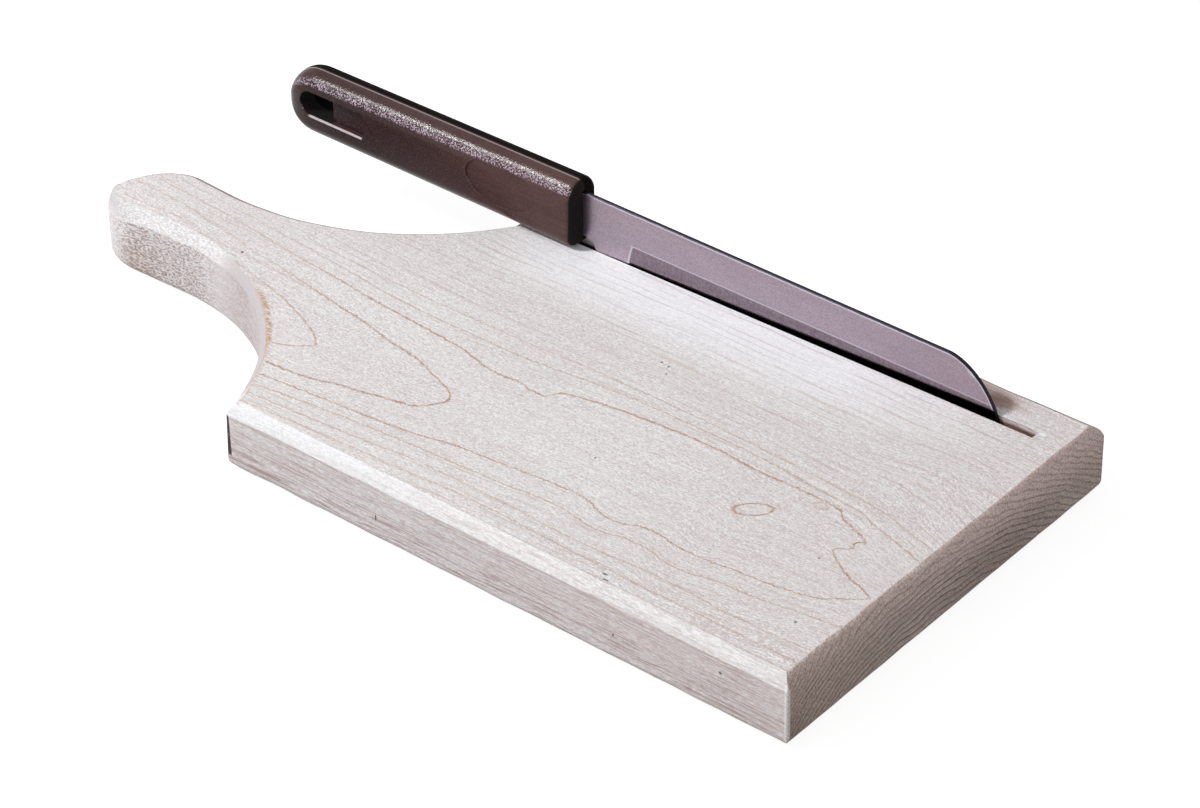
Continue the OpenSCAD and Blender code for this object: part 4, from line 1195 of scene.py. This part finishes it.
def brown_plastic(name, side, seed):
    """One half's plastic: side -1 is the near half."""
    # the far half's tones are darker than the near half's: painted shade on the half turned away from the light
    tone = (0.028, 0.0115, 0.0125) if side < 0 else (0.022, 0.0095, 0.0105)
    pale = (0.088, 0.044, 0.042, 1) if side < 0 else (0.060, 0.031, 0.030, 1)
    black = (0.003, 0.002, 0.002, 1)
    material, bench, shader = new_material(name, tone)
    place = along_knife(bench)
    u, v, w = bench.split(place)
    facing_x, _, facing_z = bench.split(bench.add("ShaderNodeTexCoord").outputs["Normal"])
    leather = bench.noise(place, 1.9, 2.0, 0.6)
    sparkle = bench.noise(place, 2.3, 1.0, 0.6)
    streaks = bench.use(GRAIN, Place=place, Length=9.0, Width=1.0, Depth=0.8, Seed=seed)
    cloud = bench.use(GRAIN, Place=place, Length=30.0, Width=10.0, Depth=9.0, Seed=seed + 4.0)
    forward = bench.ramp(u, -88.0, -8.0)
    colour = bench.mix(forward, (*tone, 1), pale)
    # painted light: faces that turn upwards are made paler
    colour = bench.mix(bench.ramp(facing_z, 0.2, 0.8, 0.0, 0.5), colour, pale)
    colour = bench.mix(bench.ramp(cloud, 0.3, 0.7, 0.0, 0.3), colour, (*tone, 1))
    colour = bench.mix(bench.ramp(streaks, 0.4, 0.7, 0.0, 0.3), colour, (0.026, 0.012, 0.014, 1))
    colour = bench.mix(bench.ramp(sparkle, 0.54, 0.68, 0.0, 0.35), colour, (0.15, 0.09, 0.085, 1))
    # painted highlight: a sprinkle of bright points along the rounded upper shoulder of the near half
    highlight_points = bench.sum("MULTIPLY", bench.ramp(facing_z, 0.34, 0.48), bench.ramp(facing_z, 0.62, 0.80, 1.0, 0.0))
    highlight_points = bench.sum("MULTIPLY", highlight_points, bench.ramp(v, -5.0, -3.5, 1.0, 0.0))
    highlight_points = bench.sum("MULTIPLY", highlight_points, bench.ramp(sparkle, 0.50, 0.57, 0.02, 0.95))
    colour = bench.mix(highlight_points, colour, (0.50, 0.41, 0.49, 1))
    # the oval thumb rest shows as a faint paler rim, a painted highlight along its edge
    oval = bench.vector("LENGTH", bench.join(
        bench.sum("DIVIDE", bench.sum("ADD", u, THUMB_X), THUMB_L / 2),
        bench.sum("DIVIDE", bench.sum("SUBTRACT", w, THUMB_Z), THUMB_H / 2), 0.0))
    oval_rim_highlight = bench.ramp(bench.sum("ABSOLUTE", bench.sum("SUBTRACT", oval, 1.0)), 0.0, 0.07, 0.12, 0.0)
    colour = bench.mix(oval_rim_highlight, colour, (0.16, 0.08, 0.08, 1))
    # a painted highlight runs along the flash line at the seam, and painted shade darkens the top behind it
    over_top = bench.ramp(facing_z, 0.15, 0.45)
    from_seam = bench.sum("MULTIPLY", v, float(side))
    if side < 0:
        seam = bench.sum("MULTIPLY", bench.ramp(from_seam, 0.45, 0.6), bench.ramp(from_seam, 0.85, 1.05, 1.0, 0.0))
        colour = bench.mix(bench.sum("MULTIPLY", bench.sum("MULTIPLY", seam, over_top), 0.6), colour, (0.42, 0.33, 0.32, 1))
    shade_behind_seam = bench.ramp(from_seam, 0.3, 0.5, 0.9, 0.0) if side < 0 else 0.96
    shade_behind_seam = bench.sum("MULTIPLY", over_top, shade_behind_seam)
    # painted shade: black inside the hanging hole, on the front face and over the top behind the seam
    middle = -GRIP_L + HANG_MARGIN + HANG_L / 2
    deep = bench.ramp(bench.sum("ABSOLUTE", v), GRIP_T / 2 - 0.7, GRIP_T / 2 - 0.35, 1.0, 0.0)
    reach_u = bench.ramp(bench.sum("ABSOLUTE", bench.sum("SUBTRACT", u, middle)), HANG_L / 2 + 0.1, HANG_L / 2 + 0.4, 1.0, 0.0)
    reach_w = bench.ramp(bench.sum("ABSOLUTE", bench.sum("SUBTRACT", w, HANG_Z)), HANG_H / 2 + 0.1, HANG_H / 2 + 0.4, 1.0, 0.0)
    shaded = bench.sum("MULTIPLY", bench.sum("MULTIPLY", deep, reach_u), reach_w)
    front = bench.sum("MULTIPLY", bench.ramp(facing_x, 0.30, 0.62), bench.ramp(u, -3.0, -2.2))
    shaded = bench.sum("MAXIMUM", shaded, front)
    shaded = bench.sum("MAXIMUM", shaded, shade_behind_seam)
    colour = bench.mix(bench.sum("MULTIPLY", shaded, 0.96), colour, black)
    # a painted highlight along the lower lip of the hole and its recess
    lip_from = bench.sum("SUBTRACT", HANG_Z - HANG_H / 2, w)
    lip = bench.sum("MULTIPLY", bench.ramp(lip_from, -0.2, -0.05), bench.ramp(lip_from, 0.3, 0.55, 1.0, 0.0))
    lip_end = -GRIP_L + HANG_MARGIN + HANG_L + RECESS_L
    lip_run = bench.sum("MULTIPLY", bench.ramp(u, -GRIP_L + HANG_MARGIN + 2.6, -GRIP_L + HANG_MARGIN + 4.2),
                        bench.ramp(u, lip_end - 1.2, lip_end - 0.4, 1.0, 0.0))
    lip = bench.sum("MULTIPLY", lip, lip_run)
    lip = bench.sum("MULTIPLY", lip, bench.ramp(bench.sum("ABSOLUTE", v), GRIP_T / 2 - 0.6, GRIP_T / 2 - 0.45))
    colour = bench.mix(bench.sum("MULTIPLY", lip, 0.95), colour, (0.74, 0.66, 0.68, 1))
    bench.feed(shader.inputs["Base Color"], colour)
    rough = bench.scaled(leather, 0.2, 0.8, 0.14, 0.22)
    bench.feed(shader.inputs["Roughness"], bench.blend(shaded, rough, 0.9))
    shader.inputs["Specular IOR Level"].default_value = 0.2 if side < 0 else 0.05
    height = bench.sum("ADD", bench.sum("MULTIPLY", leather, 0.4), bench.sum("MULTIPLY", sparkle, 1.6))
    bump = bench.add("ShaderNodeBump", {"Strength": 1.0, "Distance": 0.00004, "Height": height})
    bench.feed(shader.inputs["Normal"], bump.outputs[0])
    return material


# ---- floor, light and camera ----

def seen_directly(bench):
    """One where the camera looks straight at a surface, or through a mirror or glass."""
    path = bench.add("ShaderNodeLightPath").outputs
    mirrored = bench.sum("MAXIMUM", path["Is Glossy Ray"], path["Is Transmission Ray"])
    return bench.sum("MAXIMUM", path["Is Camera Ray"], mirrored)


def make_floor():
    """A pale floor that shows white and keeps a faint shadow."""
    size = 4000.0
    points = [(-size, -size, -0.05), (size, -size, -0.05), (size, size, -0.05), (-size, size, -0.05)]
    floor = mesh_object("floor", points, [(0, 1, 2, 3)])
    material, bench, shader = new_material("pale_floor", (0.9, 0.9, 0.9))
    shader.inputs["Base Color"].default_value = (0.32, 0.32, 0.32, 1)
    shader.inputs["Roughness"].default_value = 1.0
    shader.inputs["Specular IOR Level"].default_value = 0.0
    glow = bench.add("ShaderNodeEmission", {"Color": (1, 1, 1, 1), "Strength": 0.87})
    both = bench.add("ShaderNodeAddShader")
    bench.feed(both.inputs[0], shader.outputs[0])
    bench.feed(both.inputs[1], glow.outputs[0])
    pick = bench.add("ShaderNodeMixShader")
    bench.feed(pick.inputs[0], seen_directly(bench))
    bench.feed(pick.inputs[1], shader.outputs[0])
    bench.feed(pick.inputs[2], both.outputs[0])
    output = next(n for n in material.node_tree.nodes if n.type == "OUTPUT_MATERIAL")
    bench.feed(output.inputs["Surface"], pick.outputs[0])
    floor.data.materials.append(material)


def light_the_room():
    world = bpy.data.worlds.new("studio")
    bpy.context.scene.world = world
    world.use_nodes = True
    world.node_tree.nodes.clear()
    bench = Bench(world.node_tree)
    strength = bench.blend(seen_directly(bench), 0.40, 1.0)
    sky = bench.add("ShaderNodeBackground", {"Color": (1.0, 0.995, 1.0, 1), "Strength": strength})
    output = bench.add("ShaderNodeOutputWorld")
    bench.feed(output.inputs["Surface"], sky.outputs[0])


def add_lamp(name, aim, towards, distance, size, power):
    """A soft square lamp that lies in a direction from the point it is aimed at."""
    data = bpy.data.lights.new(name, "AREA")
    data.shape = "SQUARE"
    data.size = size
    data.energy = power
    lamp = bpy.data.objects.new(name, data)
    bpy.context.scene.collection.objects.link(lamp)
    direction = Vector(towards).normalized()
    lamp.location = Vector(aim) + direction * distance
    lamp.rotation_euler = direction.to_track_quat("Z", "Y").to_euler()


def add_camera():
    """The photograph's own viewpoint, found from the board's straight edges."""
    azimuth = math.radians(40.346)
    height = math.radians(35.132)
    roll = math.radians(-1.177)
    back = Vector((math.sin(azimuth) * math.cos(height), -math.cos(azimuth) * math.cos(height), math.sin(height)))
    right = Vector((math.cos(azimuth), math.sin(azimuth), 0.0))
    up = back.cross(right)
    turned_right = right * math.cos(roll) + up * math.sin(roll)
    turned_up = up * math.cos(roll) - right * math.sin(roll)
    target = Vector((-0.03563, 0.01618, 0.0))
    data = bpy.data.cameras.new("photo_view")
    data.sensor_width = 36.0
    data.lens = 119.04
    data.clip_end = 20.0
    camera = bpy.data.objects.new("photo_view", data)
    bpy.context.scene.collection.objects.link(camera)
    pose = Matrix((turned_right, turned_up, back)).transposed().to_4x4()
    pose.translation = target + back * 1.08877
    camera.matrix_world = pose
    bpy.context.scene.camera = camera


# ---- the whole ----

board = make_board()
board.data.materials.append(maple())
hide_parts("board")
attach(board, "board")

steel = blade_steel()
knife_blade = make_blade()
knife_blade.data.materials.append(steel)
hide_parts("blade")
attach(knife_blade, "knife")

for which, side in (("near", -1), ("far", 1)):
    half = make_grip_half("grip_" + which + "_half", side)
    half.data.materials.append(brown_plastic(which + "_brown_plastic", side, 20.0 + side))
    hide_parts("handle_" + which + "_half")
    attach(half, "knife")

make_floor()
light_the_room()
add_lamp("key", (0, 0, 0), (-0.53, -0.44, 0.73), 1.6, 0.22, 17.8)
add_lamp("front_fill", (0, 0, 0), (-0.15, -0.95, 0.35), 1.2, 0.9, 1.6)
add_lamp("end_fill", (0, 0, 0), (0.95, -0.25, 0.20), 1.4, 0.9, 1.8)
add_camera()
bpy.context.scene.view_settings.view_transform = "Standard"
